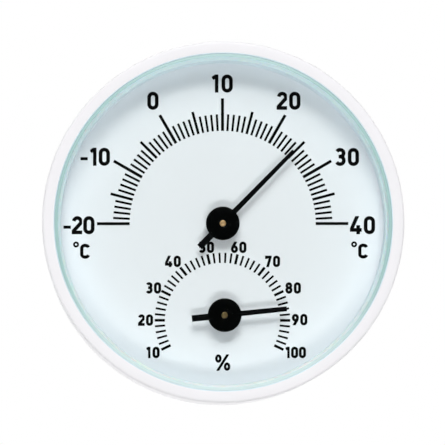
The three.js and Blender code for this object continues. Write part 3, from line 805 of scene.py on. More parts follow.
def screw_tree():
    """Slotted screws on a circle, each left at its own turn."""
    lengths = ["Circle", "First screw", "Screw step", "Slot width", "Slot length", "Slot depth", "Head top"]
    given_kinds = {"Geometry": ["Blank"], "Int": ["Screws", "Seed"], "Float": lengths}
    tree, given = geometry_tree("Cover screws", **given_kinds, Material=["Plating"])
    # Half of the bar that cuts the slot lies over the head
    with_painted_shade = node(tree, "ShaderNodeMath", {0: given["Slot depth"], 1: 2}, operation="MULTIPLY")
    sides = {"X": given["Slot length"], "Y": with_painted_shade, "Z": given["Slot width"]}
    bar = node(tree, "GeometryNodeMeshCube", {"Size": node(tree, "ShaderNodeCombineXYZ", sides)})
    top = node(tree, "ShaderNodeCombineXYZ", {"Y": given["Head top"]})
    raised = node(tree, "GeometryNodeTransform", {"Geometry": bar, "Translation": top})
    cut = {"Mesh 1": given["Blank"], "Mesh 2": raised}
    slotted = node(tree, "GeometryNodeMeshBoolean", cut, operation="DIFFERENCE", solver="EXACT")
    spot = on_circle(tree, fan_angles(tree, given["First screw"], given["Screw step"]), given["Circle"])
    turns = {"Max": math.pi, "Seed": given["Seed"]}
    driven = node(tree, "FunctionNodeRandomValue", turns, data_type="FLOAT")
    end_tree(tree, copied(tree, slotted, given["Screws"], driven, spot), given["Plating"])
    return tree


def coil_tree():
    """A flat spiral of strip whose last quarter turn swings outwards to its stud."""
    lengths = ["Start radius", "End radius", "Turns", "Kick", "Strip thickness", "Strip width", "Strip edge"]
    lengths += ["First angle", "Centre X", "Centre Z", "Level"]
    tree, given = geometry_tree("Spiral coil", Float=lengths, Material=["Strip"])
    radii = {"Start Radius": given["Start radius"], "End Radius": given["End radius"]}
    turns = {"Resolution": 72, "Rotations": given["Turns"], "Height": 0}
    spiral = node(tree, "GeometryNodeCurveSpiral", turns | radii)
    # The swing begins at this share of the strip's length, a quarter turn before its end
    done = node(tree, "GeometryNodeSplineParameter", out="Factor")
    swing_from = 0.88
    swing = node(tree, "ShaderNodeMapRange", span(done, swing_from, 1, 0, 1), **SOFTLY)
    reach = node(tree, "ShaderNodeMath", {0: swing, 1: given["Kick"]}, operation="MULTIPLY")
    place = node(tree, "GeometryNodeInputPosition")
    outwards = node(tree, "ShaderNodeVectorMath", {0: place}, operation="NORMALIZE")
    shift = node(tree, "ShaderNodeVectorMath", {0: outwards, "Scale": reach}, operation="SCALE")
    line = node(tree, "GeometryNodeSetPosition", {"Geometry": spiral, "Offset": shift})
    upright = node(tree, "GeometryNodeSetCurveNormal", {"Curve": line}, mode="Z_UP")
    sides = {"Width": given["Strip thickness"], "Height": given["Strip width"]}
    section = node(tree, "GeometryNodeCurvePrimitiveQuadrilateral", sides)
    edges = {"Curve": section, "Radius": given["Strip edge"], "Count": 2}
    rounded = node(tree, "GeometryNodeFilletCurve", edges, mode="POLY")
    run = {"Curve": upright, "Profile Curve": rounded, "Fill Caps": True}
    strip = node(tree, "GeometryNodeCurveToMesh", run)
    aim = node(tree, "ShaderNodeCombineXYZ", {"Z": given["First angle"]})
    started = node(tree, "GeometryNodeTransform", {"Geometry": strip, "Rotation": aim})
    place = {"X": given["Centre X"], "Y": given["Level"], "Z": given["Centre Z"]}
    spot = node(tree, "ShaderNodeCombineXYZ", place)
    standing = {"Geometry": started, "Translation": spot, "Rotation": (math.pi / 2, 0, 0)}
    end_tree(tree, node(tree, "GeometryNodeTransform", standing), given["Strip"])
    return tree


# Numerals: upright figures of even stroke, in units of their height

ARC_STEPS = 14
FIGURE_WIDTH = 0.62
FIGURE_WIDTHS = {"1": 0.36, "2": 0.575, "4": 0.65, "7": 0.575, "-": 0.4, "C": 0.68, "°": 0.4, "%": 0.93}
# The degree sign stands higher than the figures
CEILINGS = {"°": 1.2}
# What trimming leaves of a stroke is dropped if its area is smaller than this
SLIVER = 0.0005
# A figure's own spaces to its left and right, where they differ from the usual ones
USUAL_SPACE = 0.03
SPACES = {"1": (0.1, 0.09), "-": (0.03, 0.02), "°": (0, 0.015), "C": (0, 0)}
# Words of two figures are set a little wider than longer ones
PAIR_SPACE = 0.055


def figure_strokes(weight):
    """Each figure's lines, closed where they end as they began, and the strokes not of full weight."""
    half, thin = weight / 2, weight * 0.72
    low, top = half, 1 - half
    middle, reach = FIGURE_WIDTH / 2, FIGURE_WIDTH / 2 - half

    def bow(centre_y, radius, start, end, centre_x=middle):
        return arc((centre_x, centre_y), radius, start, end, ARC_STEPS)

    def line(*points):
        return [Vector(point) for point in points]

    stadium = bow(top - reach, reach, 0, 180) + bow(low + reach, reach, 180, 360)
    waist = 0.52
    upper, lower = (top - waist) / 2, (waist - low) / 2
    join = line((middle - 0.08, waist))
    bowl = (reach, 0.2185)
    bowl_y = low + bowl[1]
    six = [line((0.455, 1.03), (0.1194, bowl_y + 0.109)), bow(bowl_y, bowl, 0, 360)]
    hook = (0.34 - half, 0.3 - half)
    loop = (0.2 - thin / 2, 0.255 - thin / 2)
    two_neck = line((middle + 0.135, 0.56), (0.02, 0.09), (-0.05, 0))
    lines = {
        "0": [stadium + stadium[:1]],
        "1": [line((0.2685, 0), (0.2685, 1)), line((0.33, 0.985), (0.03, 0.775))],
        "2": [
            bow(top - reach, (reach - 0.012, reach), 170, -36)[:-1] + two_neck,
            line((0, low), (1, low)),
        ],
        "3": [
            bow(top - upper, (reach - 0.012, upper), 152, -90) + join,
            join + bow(low + lower, (reach, lower), 90, -152),
        ],
        "4": [line((0.44, 1.08), (0.06, 0.22)), line((0, 0.24), (1, 0.24)), line((0.455, 0), (0.455, 0.5))],
        "5": [
            line((0.06, top), (0.56, top)),
            line((0.06 + half, 1), (0.06 + half, 0.46)),
            bow(low + 0.22, (reach, 0.22), 145, -152),
        ],
        "6": six,
        "7": [
            line((0, top), (1, top)),
            line((half, 1), (half, 0.71)),
            line((FIGURE_WIDTHS["7"] - half, top), (0.21, -0.05)),
        ],
        "8": [bow(top - upper, (reach - 0.015, upper), 0, 360), bow(low + lower, (reach, lower), 0, 360)],
        "9": [[Vector((FIGURE_WIDTH - p.x, 1 - p.y)) for p in stroke] for stroke in six],
        "-": [line((0, 0.39), (0.4, 0.39))],
        "C": [bow(0.7, hook, 18, 180, 0.34) + bow(0.3, hook, 180, 342, 0.34)],
        "°": [bow(0.95, 0.2 - thin * 0.41, 0, 360, 0.2)],
        "%": [
            bow(0.745, loop, 0, 360, 0.2),
            bow(0.255, loop, 0, 360, 0.73),
            line((0.14, -0.02), (0.79, 1.02)),
        ],
    }
    return lines, {"-": weight * 0.84, "°": thin * 0.82, "%": thin}


def stroke_shapes(points, width):
    """The four-sided shapes that a line of even width is made of, mitred where it bends."""
    closed = (points[0] - points[-1]).length < ON_EDGE
    turns = points[:-1] if closed else points
    edges = []
    for i, point in enumerate(turns):
        ahead = turns[(i + 1) % len(turns)] - point
        behind = point - turns[i - 1]
        if not closed and i == 0:
            behind = ahead
        if not closed and i == len(turns) - 1:
            ahead = behind
        left = (ahead.normalized() + behind.normalized()).orthogonal().normalized()
        mitre = max(0.5, left.dot(behind.normalized().orthogonal()))
        reach = left * (width / 2 / mitre)
        edges.append((point + reach, point - reach))
    pairs = list(zip(edges, edges[1:])) + ([(edges[-1], edges[0])] if closed else [])
    return [[one[0], one[1], two[1], two[0]] for one, two in pairs]


def area(shape):
    """The area of a flat shape."""
    return abs(sum(shape[i - 1].cross(point) for i, point in enumerate(shape))) / 2


def trimmed(shape, width, height):
    """A convex shape cut off at the box of its figure."""
    for axis, sign, limit in ((0, 1, width), (0, -1, 0), (1, 1, height), (1, -1, 0)):
        kept = []
        for i, here in enumerate(shape):
            before = shape[i - 1]
            inside, was_inside = sign * here[axis] <= limit, sign * before[axis] <= limit
            if inside != was_inside:
                share = (limit - sign * before[axis]) / (sign * (here[axis] - before[axis]))
                kept.append(before.lerp(here, share))
            if inside:
                kept.append(here)
        shape = kept
    return shape


def words(text, centre, height, weight):
    """The shapes of a line of figures about its centre."""
    lines, strokes = figure_strokes(weight)
    pen, shapes = 0, []
    for order, figure in enumerate(text):
        width = FIGURE_WIDTHS.get(figure, FIGURE_WIDTH)
        before, after = SPACES.get(figure, (USUAL_SPACE, USUAL_SPACE))
        pen += before + (PAIR_SPACE if order and len(text) == 2 else 0)
        for points in lines[figure]:
            for shape in stroke_shapes(points, strokes.get(figure, weight)):
                kept = trimmed(shape, width, CEILINGS.get(figure, 1))
                if area(kept) > SLIVER:
                    shapes.append([point + Vector((pen, 0)) for point in kept])
        pen += width + after
    first = min(point.x for shape in shapes for point in shape)
    last = max(point.x for shape in shapes for point in shape)
    start = Vector(((first + last) / 2, 0.5))
    return [[(point - start) * height + Vector(centre) for point in shape] for shape in shapes]


# Where the numerals stand on the dial, in millimetres from the middle
TEMPERATURE_NUMERALS = (
    ("-20", -27.9, -0.25),
    ("-10", -24.77, 13.1),
    ("0", -13.55, 24.05),
    ("10", -0.03, 27.44),
    ("20", 12.88, 24.1),
    ("30", 24.3, 13.14),
    ("40", 27.27, -0.17),
)
HUMIDITY_NUMERALS = (
    ("10", -13.5, -25.0),
    ("20", -14.95, -18.7),
    ("30", -13.4, -12.45),
    ("40", -9.65, -7.27),
    ("50", -3.1, -4.52),
    ("60", 3.15, -4.52),
    ("70", 9.75, -7.25),
    ("80", 13.75, -12.43),
    ("90", 15.0, -18.58),
    ("100", 14.25, -24.97),
)
# Signs of the units, with their heights
UNIT_SIGNS = (("°C", -27.41, -5.33, 2.92), ("°C", 26.69, -5.22, 2.92), ("%", 0.05, -26.95, 3.2))


class Piece:
    """What all operators of this file share."""

    bl_options = {"REGISTER", "UNDO"}


class INSTRUMENT_OT_case(Piece, bpy.types.Operator):
    """Mould the drum with its rim, lens pocket and dial shoulder"""

    bl_idname = "instrument.case"
    bl_label = "Case"

    def execute(self, context):
        size, tints = context.scene.instrument_case, context.scene.instrument_finish
        rear = CASE_RADIUS - size.draft
        corners = [
            (size.bore, CASE_REAR, 0),
            (size.bore, DIAL_FACE, 0),
            (size.window, DIAL_FACE, 0),
            (size.window, LEDGE, size.edge),
            (size.pocket, LEDGE, 0),
            (size.pocket, RIM_FACE, size.rim_lip),
            (CASE_RADIUS, RIM_FACE, size.rim_rounding),
            (rear, CASE_REAR - size.parting, size.edge),
            (rear - size.parting, CASE_REAR, 0),
        ]
        mesh = lathe(corners)
        plastic = moulded_abs("ABS, moulded white", tints.abs_white)
        # The wall round the lens is the same plastic with painted light: a greenish tint and a glow stand in
        # for the light that comes out of the pane's edge
        pane_lit_plastic = moulded_abs("ABS, moulded white under glass", tints.abs_in_painted_pane_light, (0.05, 0.2))
        piece("case_moulding", mesh, [plastic, pane_lit_plastic], "case", ["case_body"])
        # The faces in the pocket and down to the dial get the plastic with painted pane light
        lit_by_pane = size.pocket + size.rim_lip * 0.8
        for face in mesh.polygons:
            face.material_index = int(face.center.xz.length < lit_by_pane)
        return {"FINISHED"}


class INSTRUMENT_OT_lens(Piece, bpy.types.Operator):
    """Grind the lens and lay it on its seal"""

    bl_idname = "instrument.lens"
    bl_label = "Lens and seal"

    def execute(self, context):
        size, tints = context.scene.instrument_case, context.scene.instrument_finish
        # The CAD's own gap round the lens would show as a dark line
        reach = size.pocket - size.lens_gap
        polished = LENS_RADIUS - size.lens_bevel
        # The bevel is drawn nearly flat
        bevel_drop = size.lens_bevel / 6
        corners = [
            (0, LENS_FRONT, 0),
            (polished, LENS_FRONT, 0),
            (reach, LENS_FRONT + bevel_drop, 0),
            (reach, LENS_BACK - size.edge, 0),
            (reach - size.edge, LENS_BACK, 0),
            (0, LENS_BACK, 0),
        ]
        mesh = lathe(corners)
        glass = [float_glass(tints.glass_tint), ground_glass(tints.glass_edge, tints.glass_edge_lit)]
        piece("lens_pane", mesh, glass, "case", ["lens"])
        for face in mesh.polygons:
            face.material_index = int(face.center.xz.length > polished)
        corners = [
            (size.seal_bore, LENS_BACK, size.edge / 2),
            (SEAL_RADIUS, LENS_BACK, size.edge / 2),
            (SEAL_RADIUS, LEDGE, 0),
            (size.seal_bore, LEDGE, 0),
        ]
        silicone = moulded_silicone(tints.silicone, tints.silicone_lit)
        piece("lens_gasket", lathe(corners), [silicone], "case", ["lens_seal"])
        return {"FINISHED"}


class INSTRUMENT_OT_dial(Piece, bpy.types.Operator):
    """Cut the dial and print its scales and numerals"""

    bl_idname = "instrument.dial"
    bl_label = "Dial and print"

    def execute(self, context):
        size, tints = context.scene.instrument_dial, context.scene.instrument_finish
        sheared_edge = 0.08 * MM
        holes = [ring(axis_of(f"{m['name']}_hub"), size.bush_hole, SMALL_ROUND)[::-1] for m in MOVEMENTS]
        disc = ring((0, 0), DIAL_RADIUS, LARGE_ROUND)
        sheet = plate(disc, holes, DIAL_FACE, DIAL_BACK, sheared_edge)
        piece("dial_sheet", sheet, [stoved_enamel(tints.enamel)], "case", ["dial_plate"])
        # The mesh of the screen leaves ripples of about 0.1 mm in the ink, drawn at 0.3 mm so that they show
        ink = black_coat("Screen ink, printed", tints.ink_black, roughness=0.5, shine=0.05, ripple=0.3)
        self.print_scales(size, ink)
        runs = {
            "temperature_numerals": (TEMPERATURE_NUMERALS, size.large_numeral, size.large_weight),
            "humidity_numerals": (HUMIDITY_NUMERALS, size.small_numeral, size.small_weight),
            "unit_signs": (UNIT_SIGNS, None, size.sign_weight),
        }
        for name, (signs, height, weight) in runs.items():
            shapes = []
            for text, x, z, *own_height in signs:
                tall = own_height[0] * MM if own_height else height
                shapes += words(text, (x * MM, z * MM), tall, weight)
            piece(name, raised_print(shapes, DIAL_FACE - size.ink, DIAL_FACE + size.ink), [ink], "case")
        return {"FINISHED"}

    def print_scales(self, size, ink):
        """Both scales: a mark at each degree from -20 to 40, and at each second percent from 10 to 100."""
        slight, medium, bold = [size.fine_mark * share for share in (0.9, 1.2, 1.35)]
        temperature = {
            "Marks": 61,
            "First angle": math.radians(-90 - size.temperature_turn),
            "Angle step": math.radians(3),
            "Mid every": 5,
            "Major every": 10,
            "Inner radius": size.temperature_inner,
            "Centre X": size.temperature_shift,
            "Centre Z": size.temperature_rise,
            "Minor length": size.temperature_minor,
            "Mid length": size.temperature_mid,
            "Major length": size.temperature_major,
            "Minor width": size.fine_mark,
            "Mid width": medium,
            "Major width": bold,
        }
        humidity = {
            "Marks": 46,
            "First angle": math.radians(-90 - 180 / 7),
            "Angle step": math.radians(36 / 7),
            "Mid every": 5,
            "Major every": 5,
            "Inner radius": size.humidity_inner,
            "Centre Z": -size.humidity_drop,
            "Minor width": slight,
            "Mid width": medium,
            "Major width": medium,
        }
        humidity |= {f"{grade} length": size.humidity_mark for grade in ("Minor", "Mid", "Major")}
        shared = {"Ink height": size.ink, "Dial face": DIAL_FACE, "Ink": ink}
        tree = scale_tree()
        for name, values in (("temperature_scale", temperature), ("humidity_scale", humidity)):
            piece(name, grown(tree, shared | values), [], "case")


class INSTRUMENT_OT_hands(Piece, bpy.types.Operator):
    """Stamp the pointers, mould their hubs and turn the staffs, bushes and collets"""

    bl_idname = "instrument.hands"
    bl_label = "Hands and arbors"

    def execute(self, context):
        size, tints = context.scene.instrument_dial, context.scene.instrument_finish
        # Sprayed paint dries to waves of about 0.5 mm; the hubs' mould leaves a grain of about 0.2 mm
        sprayed = {"roughness": 0.2, "shine": 0.3, "ripple": 0.5}
        grained = {"roughness": 0.17, "shine": 0.3, "ripple": 0.2}
        paint = black_coat("Satin paint on stamped sheet", tints.pointer_paint, **sprayed)
        plastic = black_coat("Acetal, moulded black", tints.hub_plastic, **grained)
        for movement in MOVEMENTS:
            name = movement["name"]
            hand = f"{name}_hand"
            centre = axis_of(f"{name}_hub")
            self.pointer(size, movement, centre, paint)
            brass = turned_brass(f"Brass, turned for the {name}", getattr(tints, movement["brass"]), centre)
            # Each round piece: what it is made of, what it rides on and its slot
            makes = {
                "hub": (plastic, hand, "hub_black"),
                "staff": (brass, hand, "brass"),
                "coil_collet": (brass, hand, "brass"),
                "bush": (brass, "case", "brass"),
            }
            sections = self.sections(size, name)
            for part, (material, body, slot) in makes.items():
                turned = lathe(sections[part], centre, SMALL_ROUND * 2)
                piece(f"{name}_{part}_turned", turned, [material], body, [f"{name}_{part}"])
        return {"FINISHED"}

    def pointer(self, size, movement, centre, paint):
        """One pointer: a tapered blade and a short tail on an eye round the hub's boss."""
        name = movement["name"]
        stamped_edge = 0.02 * MM
        tip, tail = size.hub + movement["blade_reach"], -size.hub - movement["tail_reach"]
        root_angle = math.degrees(math.asin(size.blade_root / 2 / size.eye_outer))
        tail_angle = math.degrees(math.asin(size.tail / 2 / size.eye_outer))
        half_tip, half_tail = movement["blade_tip"] / 2, size.tail / 2
        outline = [Vector((half_tip, tip)), Vector((-half_tip, tip))]
        outline += arc((0, 0), size.eye_outer, 90 + root_angle, 270 - tail_angle, SMALL_ROUND // 2)
        outline += [Vector((-half_tail, tail)), Vector((half_tail, tail))]
        outline += arc((0, 0), size.eye_outer, 270 + tail_angle, 450 - root_angle, SMALL_ROUND // 2)
        eye = ring((0, 0), size.eye, SMALL_ROUND)[::-1]
        loops = [clockwise(loop, movement["reading"], centre) for loop in (outline, eye)]
        sheet = plate(loops[0], loops[1:], *levels(f"{name}_pointer"), stamped_edge)
        piece(f"{name}_blade", sheet, [paint], f"{name}_hand", [f"{name}_pointer"])

    def sections(self, size, name):
        """The sections of one movement's round pieces."""
        boss_radius, bush_bore, bush_radius, flange_radius = 1.4 * MM, 0.7 * MM, 1.6 * MM, 2.6 * MM
        edge, dimple, pivot_length = 0.08 * MM, 0.3 * MM, 1.4 * MM
        hub_front, boss_end = levels(f"{name}_hub")
        hub_back = levels(f"{name}_pointer")[0]
        tip, end = levels(f"{name}_staff")
        shoulder = end - pivot_length
        collet_front, collet_back = levels(f"{name}_coil_collet")
        bush_front, flange = levels(f"{name}_bush")
        hub = [
            (STAFF_BORE, hub_front, edge),
            (size.hub, hub_front, size.hub_edge),
            (size.hub, hub_back, edge),
            (boss_radius, hub_back, 0),
            (boss_radius, boss_end, 0),
            (STAFF_BORE, boss_end, 0),
        ]
        staff = [
            (0, tip + dimple * 0.6, 0),
            (dimple, tip, edge / 2),
            (STAFF_RADIUS, tip, edge * 1.5),
            (STAFF_RADIUS, shoulder, 0),
            (PIVOT_RADIUS, shoulder, 0),
            (PIVOT_RADIUS, end, edge),
            (0, end, 0),
        ]
        collet = [
            (STAFF_BORE, collet_front, 0),
            (COLLET_RADIUS, collet_front, edge),
            (COLLET_RADIUS, collet_back, edge),
            (STAFF_BORE, collet_back, 0),
        ]
        bush = [
            (bush_bore, bush_front, edge),
            (bush_radius, bush_front, edge),
            (bush_radius, FLOOR_BACK, 0),
            (flange_radius, FLOOR_BACK, edge),
            (flange_radius, flange, edge),
            (bush_bore, flange, 0),
        ]
        return {"hub": hub, "staff": staff, "coil_collet": collet, "bush": bush}


class INSTRUMENT_OT_cover(Piece, bpy.types.Operator):
    """Mould the rear cover with its vents, keyhole and screw seats"""

    bl_idname = "instrument.cover"
    bl_label = "Rear cover"

    def execute(self, context):
        size, tints = context.scene.instrument_case, context.scene.instrument_finish
        front = BACK_FACE - size.cover_thickness
        rear = CASE_RADIUS - size.draft
        lip_bore = size.lip_radius - size.lip_wall
        disc = [
            (0, BACK_FACE, 0),
            (rear, BACK_FACE, size.cover_rounding),
            (rear, front + size.parting, size.edge),
            (rear - size.parting, front, 0),
            (size.lip_radius, front, 0),
            (size.lip_radius, COVER_LIP_FRONT, size.edge),
            (lip_bore, COVER_LIP_FRONT, size.edge),
            (lip_bore, front, 0),
            (0, front, 0),
        ]
        tools = self.tools(size, front)
        values = {
            "Vents": size.vent_count,
            "First vent": math.radians(180 - size.vent_spread / 2),
            "Vent step": math.radians(size.vent_spread / (size.vent_count - 1)),
            "Screws": len(SCREW_NODES),
            "First screw": FIRST_SCREW,
            "Screw step": SCREW_STEP,
            "Plastic": moulded_abs("ABS, moulded white for the back", tints.abs_white),
        }
        mesh = smoothed(grown(cover_tree(), values | tools, lathe(disc)))
        for tool in tools.values():
            bpy.data.objects.remove(tool)
        piece("rear_moulding", mesh, [], "case", ["rear_cover"])
        return {"FINISHED"}

    def tools(self, size, front):
        """The shapes that the mould's pins and cores leave, as objects for the geometry tree."""
        past, vent_steps, keyhole_steps = 1 * MM, 12, 24
        half_vent, half_slot = size.vent_width / 2, size.keyhole_slot / 2
        vent = arc((0, size.vent_outer - half_vent), half_vent, 0, 180, vent_steps)
        vent += arc((0, size.vent_inner + half_vent), half_vent, 180, 360, vent_steps)
        meets = math.degrees(math.acos(half_slot / size.keyhole_entry))
        hanging, entry = (0, size.keyhole_height), (0, size.keyhole_height - size.keyhole_drop)
        keyhole = arc(hanging, half_slot, 0, 180, keyhole_steps)
        keyhole += arc(entry, size.keyhole_entry, 180 - meets, 360 + meets, 2 * keyhole_steps)
        seat, head_hole, shank_hole = BACK_FACE - 1.6 * MM, 2.2 * MM, 1.3 * MM
        hole = [
            (0, COVER_LIP_FRONT - past, 0),
            (shank_hole, COVER_LIP_FRONT - past, 0),
            (shank_hole, seat, 0),
            (head_hole, seat, 0),
            (head_hole, BACK_FACE - size.mouth, 0),
            (head_hole + size.mouth, BACK_FACE, 0),
            (head_hole + size.mouth, BACK_FACE + past, 0),
            (0, BACK_FACE + past, 0),
        ]
        # A boss ends inside the cover's disc, which it is joined to
        boss = [
            (0, COVER_LIP_FRONT, 0),
            (size.boss_radius, COVER_LIP_FRONT, 0),
            (size.boss_radius, front / 2, 0),
            (0, front / 2, 0),
        ]
        above = Vector((0, SCREW_CIRCLE))
        meshes = {
            "Vent": flared(vent, front - past, past, size.mouth),
            "Keyhole": flared(keyhole, front - past, past, size.mouth),
            "Screw hole": lathe(hole, above, SMALL_ROUND),
            "Boss": lathe(boss, above, SMALL_ROUND),
        }
        return {name: bpy.data.objects.new(name, mesh) for name, mesh in meshes.items()}


class INSTRUMENT_OT_screws(Piece, bpy.types.Operator):
    """Set the cover's slotted screws in their seats"""

    bl_idname = "instrument.screws"
    bl_label = "Cover screws"

    def execute(self, context):
        tints = context.scene.instrument_finish
        point, top = levels(SCREW_NODES[0])
        head_radius, head_height, shank_radius = 1.9 * MM, 1.3 * MM, 1 * MM
        seat_edge, side_edge, crown_edge = 0.1 * MM, 0.3 * MM, 0.5 * MM
        seat, crown_radius = top - head_height, head_radius * 0.75
        blank = [
            (0, point, 0),
            (shank_radius / 2, point, 0),
            (shank_radius, point + shank_radius / 2, 0),
            (shank_radius, seat, 0),
            (head_radius, seat, seat_edge),
            (head_radius, top - head_height / 2, side_edge),
            (crown_radius, top, crown_edge),
            (0, top, 0),
        ]
        values = {
            "Screws": len(SCREW_NODES),
            "Seed": 4,
            "Circle": SCREW_CIRCLE,
            "First screw": FIRST_SCREW,
            "Screw step": SCREW_STEP,
            "Slot width": 0.6 * MM,
            "Slot length": 5 * MM,
            "Slot depth": 0.6 * MM,
            "Head top": top,
            # Zinc spangles are about 0.3 mm across
            "Plating": rolled_metal("Steel, zinc plated", tints.zinc, 0.3, (1, 1, 1), roughness=0.32),
        }
        mesh = smoothed(grown(screw_tree(), values, lathe(blank, segments=SMALL_ROUND)))
        piece("cover_screws", mesh, [], "case", SCREW_NODES)
        return {"FINISHED"}


class INSTRUMENT_OT_movements(Piece, bpy.types.Operator):
    """Wind the coils, and finish the CAD pieces that stay as they are"""

    bl_idname = "instrument.movements"
    bl_label = "Movements"

    def execute(self, context):
        tints = context.scene.instrument_finish
        # Rolling lines run along the strip, about 0.1 mm apart, drawn at 0.25 mm so that they show
        along = (0.04, 1, 0.04)
        bimetal = rolled_metal("Bimetal, rolled strip", tints.bimetal, 0.25, along, roughness=0.35)
        strips = {"bimetal_strip": bimetal, "humidity_strip": coated_film(tints.film)}
        tree = coil_tree()
        gap, jaw = 0.3 * MM, 0.6 * MM
        for movement in MOVEMENTS:
            name, slot = movement["name"], movement["strip_slot"]
            centre = axis_of(f"{name}_hub")
            front, back = levels(f"{name}_coil")
            thickness, turns = movement["strip_thickness"], movement["coil_turns"]
            start = COLLET_RADIUS + gap + thickness / 2
            values = {
                "Start radius": start,
                "End radius": start + turns * movement["coil_pitch"],
                "Turns": turns,
                "Kick": thickness + 2 * gap + jaw,
                "Strip thickness": thickness,
                "Strip width": back - front,
                "Strip edge": thickness * 0.3,
                "First angle": math.radians(movement["stud_angle"] - 360 * turns),
                "Centre X": centre.x,
                "Centre Z": centre.y,
                "Level": (front + back) / 2,
                "Strip": strips[slot],
            }
            piece(f"{name}_spiral", smoothed(grown(tree, values)), [], "case", [f"{name}_coil"])
            tint = getattr(tints, movement["brass"])
            brass = turned_brass(f"Brass, drawn for the {name} stud", tint, centre)
            self.finish([f"{name}_coil_stud"], brass)
        # Stamped strip keeps the mill's brushed lines, about 0.15 mm apart, drawn at 0.3 mm so that they show
        bridge_steel = rolled_metal("Steel, stamped strip", tints.steel, 0.3, (0.05, 1, 1), roughness=0.38)
        screw_zinc = rolled_metal("Steel, zinc plated inside", tints.zinc, 0.3, (1, 1, 1), roughness=0.34)
        for movement in MOVEMENTS:
            bridge = f"{movement['name']}_bridge"
            self.finish([bridge], bridge_steel)
            self.finish([f"{bridge}_screw_left", f"{bridge}_screw_right"], screw_zinc)
        self.finish(["inner_frame"], moulded_abs("ABS, moulded off-white", tints.abs_ivory))
        return {"FINISHED"}

    def finish(self, nodes, material):
        """Gives CAD nodes that stay as they are their material."""
        for name in nodes:
            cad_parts[name].material_slots[0].material = material


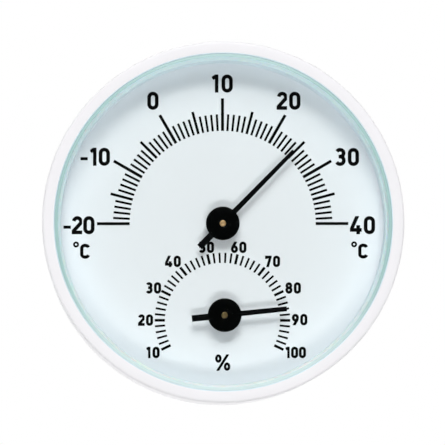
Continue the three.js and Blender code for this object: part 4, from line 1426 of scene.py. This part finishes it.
class INSTRUMENT_OT_stage(Piece, bpy.types.Operator):
    """Set up the floor, the soft lights and the camera"""

    bl_idname = "instrument.stage"
    bl_label = "Stage"

    def execute(self, context):
        stage, tints = context.scene.instrument_stage, context.scene.instrument_finish
        self.floor(stage, matt_paint(tints.floor))
        self.room(stage)
        subject = Vector((0, DIAL_FACE, 0))
        # Each light: its width, its height and its power, and its azimuth, elevation and distance
        lights = {
            "key": (0.7, 0.26, stage.key, 0, 32, 1.6),
            "scrim": (1.0, 0.5, stage.scrim, 0, 43, 1.6),
            "fill": (0.4, 0.16, stage.fill, 0, -28.5, 0.8),
            "front": (0.5, 0.4, stage.front, 0, 0, 1.3),
            "rear": (0.8, 0.6, stage.rear, 200, 35, 1.0),
        }
        for name, (width, height, power, *place) in lights.items():
            softbox = self.softbox(name, width, height, power)
            # A filter on the lens keeps the lights near the camera out of what the glass mirrors
            softbox.visible_glossy = name not in ("front", "fill")
            self.stand(softbox, subject, *place)
        # The floor's own light hangs under the instrument, so that it reaches nothing else
        wash_side = 8
        wash = self.softbox("floor", wash_side, wash_side, stage.floor_wash)
        self.stand(wash, Vector((0, 0, -stage.floor_drop)), 0, 90, 0.6 * stage.floor_drop)
        camera = bpy.data.cameras.new("photo_camera")
        camera.lens = camera.sensor_width * stage.camera_distance / stage.frame_width
        camera.clip_start, camera.clip_end = 0.01, 100
        holder = placed("photo_camera", camera)
        aim = Vector((stage.aim_x, RIM_FACE, stage.aim_z))
        self.stand(holder, aim, stage.camera_azimuth, stage.camera_elevation, stage.camera_distance)
        context.scene.camera = holder
        context.scene.view_settings.view_transform = "Standard"
        return {"FINISHED"}

    def softbox(self, name, width, height, power):
        """A soft light that the camera doesn't see."""
        lamp = bpy.data.lights.new(f"{name}_softbox", "AREA")
        lamp.shape = "RECTANGLE"
        lamp.size, lamp.size_y = width, height
        lamp.energy = power
        holder = placed(lamp.name, lamp)
        holder.visible_camera = False
        return holder

    def stand(self, holder, subject, azimuth, elevation, distance):
        """Stands a light or the camera so that it looks at a subject."""
        turn, lift = math.radians(azimuth), math.radians(elevation)
        away = Vector((math.sin(turn) * math.cos(lift), -math.cos(turn) * math.cos(lift), math.sin(lift)))
        holder.location = subject + away * distance
        holder.rotation_euler = away.to_track_quat("Z", "Y").to_euler()

    def floor(self, stage, paint):
        """A round floor well under the instrument, out of the photo camera's view."""
        radius, sides = 4, 96
        build = bmesh.new()
        bmesh.ops.create_circle(build, cap_ends=True, radius=radius, segments=sides)
        bmesh.ops.translate(build, verts=build.verts, vec=(0, 0, -stage.floor_drop))
        mesh = finished_mesh(build, turn_outwards=False)
        mesh.materials.append(paint)
        floor = placed("studio_floor", mesh)
        floor.visible_diffuse = False

    def room(self, stage):
        """A white backdrop behind the instrument and a dimmer room before it, nearly dark in the glass."""
        world = bpy.data.worlds.new("Studio room")
        world.use_nodes = True
        bpy.context.scene.world = world
        tree = world.node_tree
        tree.nodes.clear()
        way = node(tree, "ShaderNodeTexCoord", out="Generated")
        upwards = node(tree, "ShaderNodeSeparateXYZ", {"Vector": way}, "Z")
        rearwards = node(tree, "ShaderNodeSeparateXYZ", {"Vector": way}, "Y")
        # Between which shares of a direction, upwards or rearwards, one part of the room turns into the next
        to_ceiling, up_the_sides = (0.25, 0.6), (-0.4, 0.4)
        to_rear_wall, past_the_case = (0.3, 0.8), (-0.1, 0.2)
        before = span(upwards, *to_ceiling, stage.ambient, stage.ceiling)
        room = node(tree, "ShaderNodeMapRange", before, **SOFTLY)
        beside = span(upwards, *up_the_sides, stage.surround, stage.surround_top)
        sides = node(tree, "ShaderNodeMapRange", beside, **SOFTLY)
        behind = span(rearwards, *to_rear_wall, sides, stage.rear_wall)
        studio = node(tree, "ShaderNodeMapRange", behind, **SOFTLY)
        white = {"Color": (1, 1, 1, 1)}
        shown = []
        # For soft light and for what a gloss mirrors: the room before the instrument, and the one behind it
        for halves in ((room, studio), (stage.mirrored, stage.backdrop)):
            strength = node(tree, "ShaderNodeMapRange", span(rearwards, *past_the_case, *halves))
            shown.append(node(tree, "ShaderNodeBackground", white | {"Strength": strength}))
        seen = node(tree, "ShaderNodeBackground", white | {"Strength": stage.backdrop})
        glossy = node(tree, "ShaderNodeLightPath", out="Is Glossy Ray")
        direct = node(tree, "ShaderNodeLightPath", out="Is Camera Ray")
        lit = node(tree, "ShaderNodeMixShader", {0: glossy, 1: shown[0], 2: shown[1]})
        mixed = node(tree, "ShaderNodeMixShader", {0: direct, 1: lit, 2: seen})
        node(tree, "ShaderNodeOutputWorld", {"Surface": mixed})


OPERATORS = (
    INSTRUMENT_OT_case,
    INSTRUMENT_OT_lens,
    INSTRUMENT_OT_dial,
    INSTRUMENT_OT_hands,
    INSTRUMENT_OT_cover,
    INSTRUMENT_OT_screws,
    INSTRUMENT_OT_movements,
    INSTRUMENT_OT_stage,
)


class VIEW3D_PT_instrument(bpy.types.Panel):
    """Lists the operators and the settings"""

    bl_label = "Thermo-hygrometer"
    bl_space_type = "VIEW_3D"
    bl_region_type = "UI"
    bl_category = "Instrument"

    def draw(self, context):
        for operator in OPERATORS:
            self.layout.operator(operator.bl_idname)
        for name, group in SETTINGS.items():
            box = self.layout.box()
            for setting in group.__annotations__:
                box.prop(getattr(context.scene, name), setting)


CLASSES = (*SETTINGS.values(), *OPERATORS, VIEW3D_PT_instrument)


def register():
    """Adds the classes and the settings to Blender."""
    for each in CLASSES:
        bpy.utils.register_class(each)
    for name, group in SETTINGS.items():
        setattr(bpy.types.Scene, name, PointerProperty(type=group))


def unregister():
    """Takes the settings and the classes out again."""
    for name in SETTINGS:
        delattr(bpy.types.Scene, name)
    for each in reversed(CLASSES):
        bpy.utils.unregister_class(each)


def main():
    """Builds the whole instrument and its stage."""
    register()
    bpy.ops.instrument.case()
    bpy.ops.instrument.lens()
    bpy.ops.instrument.dial()
    bpy.ops.instrument.hands()
    bpy.ops.instrument.cover()
    bpy.ops.instrument.screws()
    bpy.ops.instrument.movements()
    bpy.ops.instrument.stage()


if __name__ == "__main__":
    main()
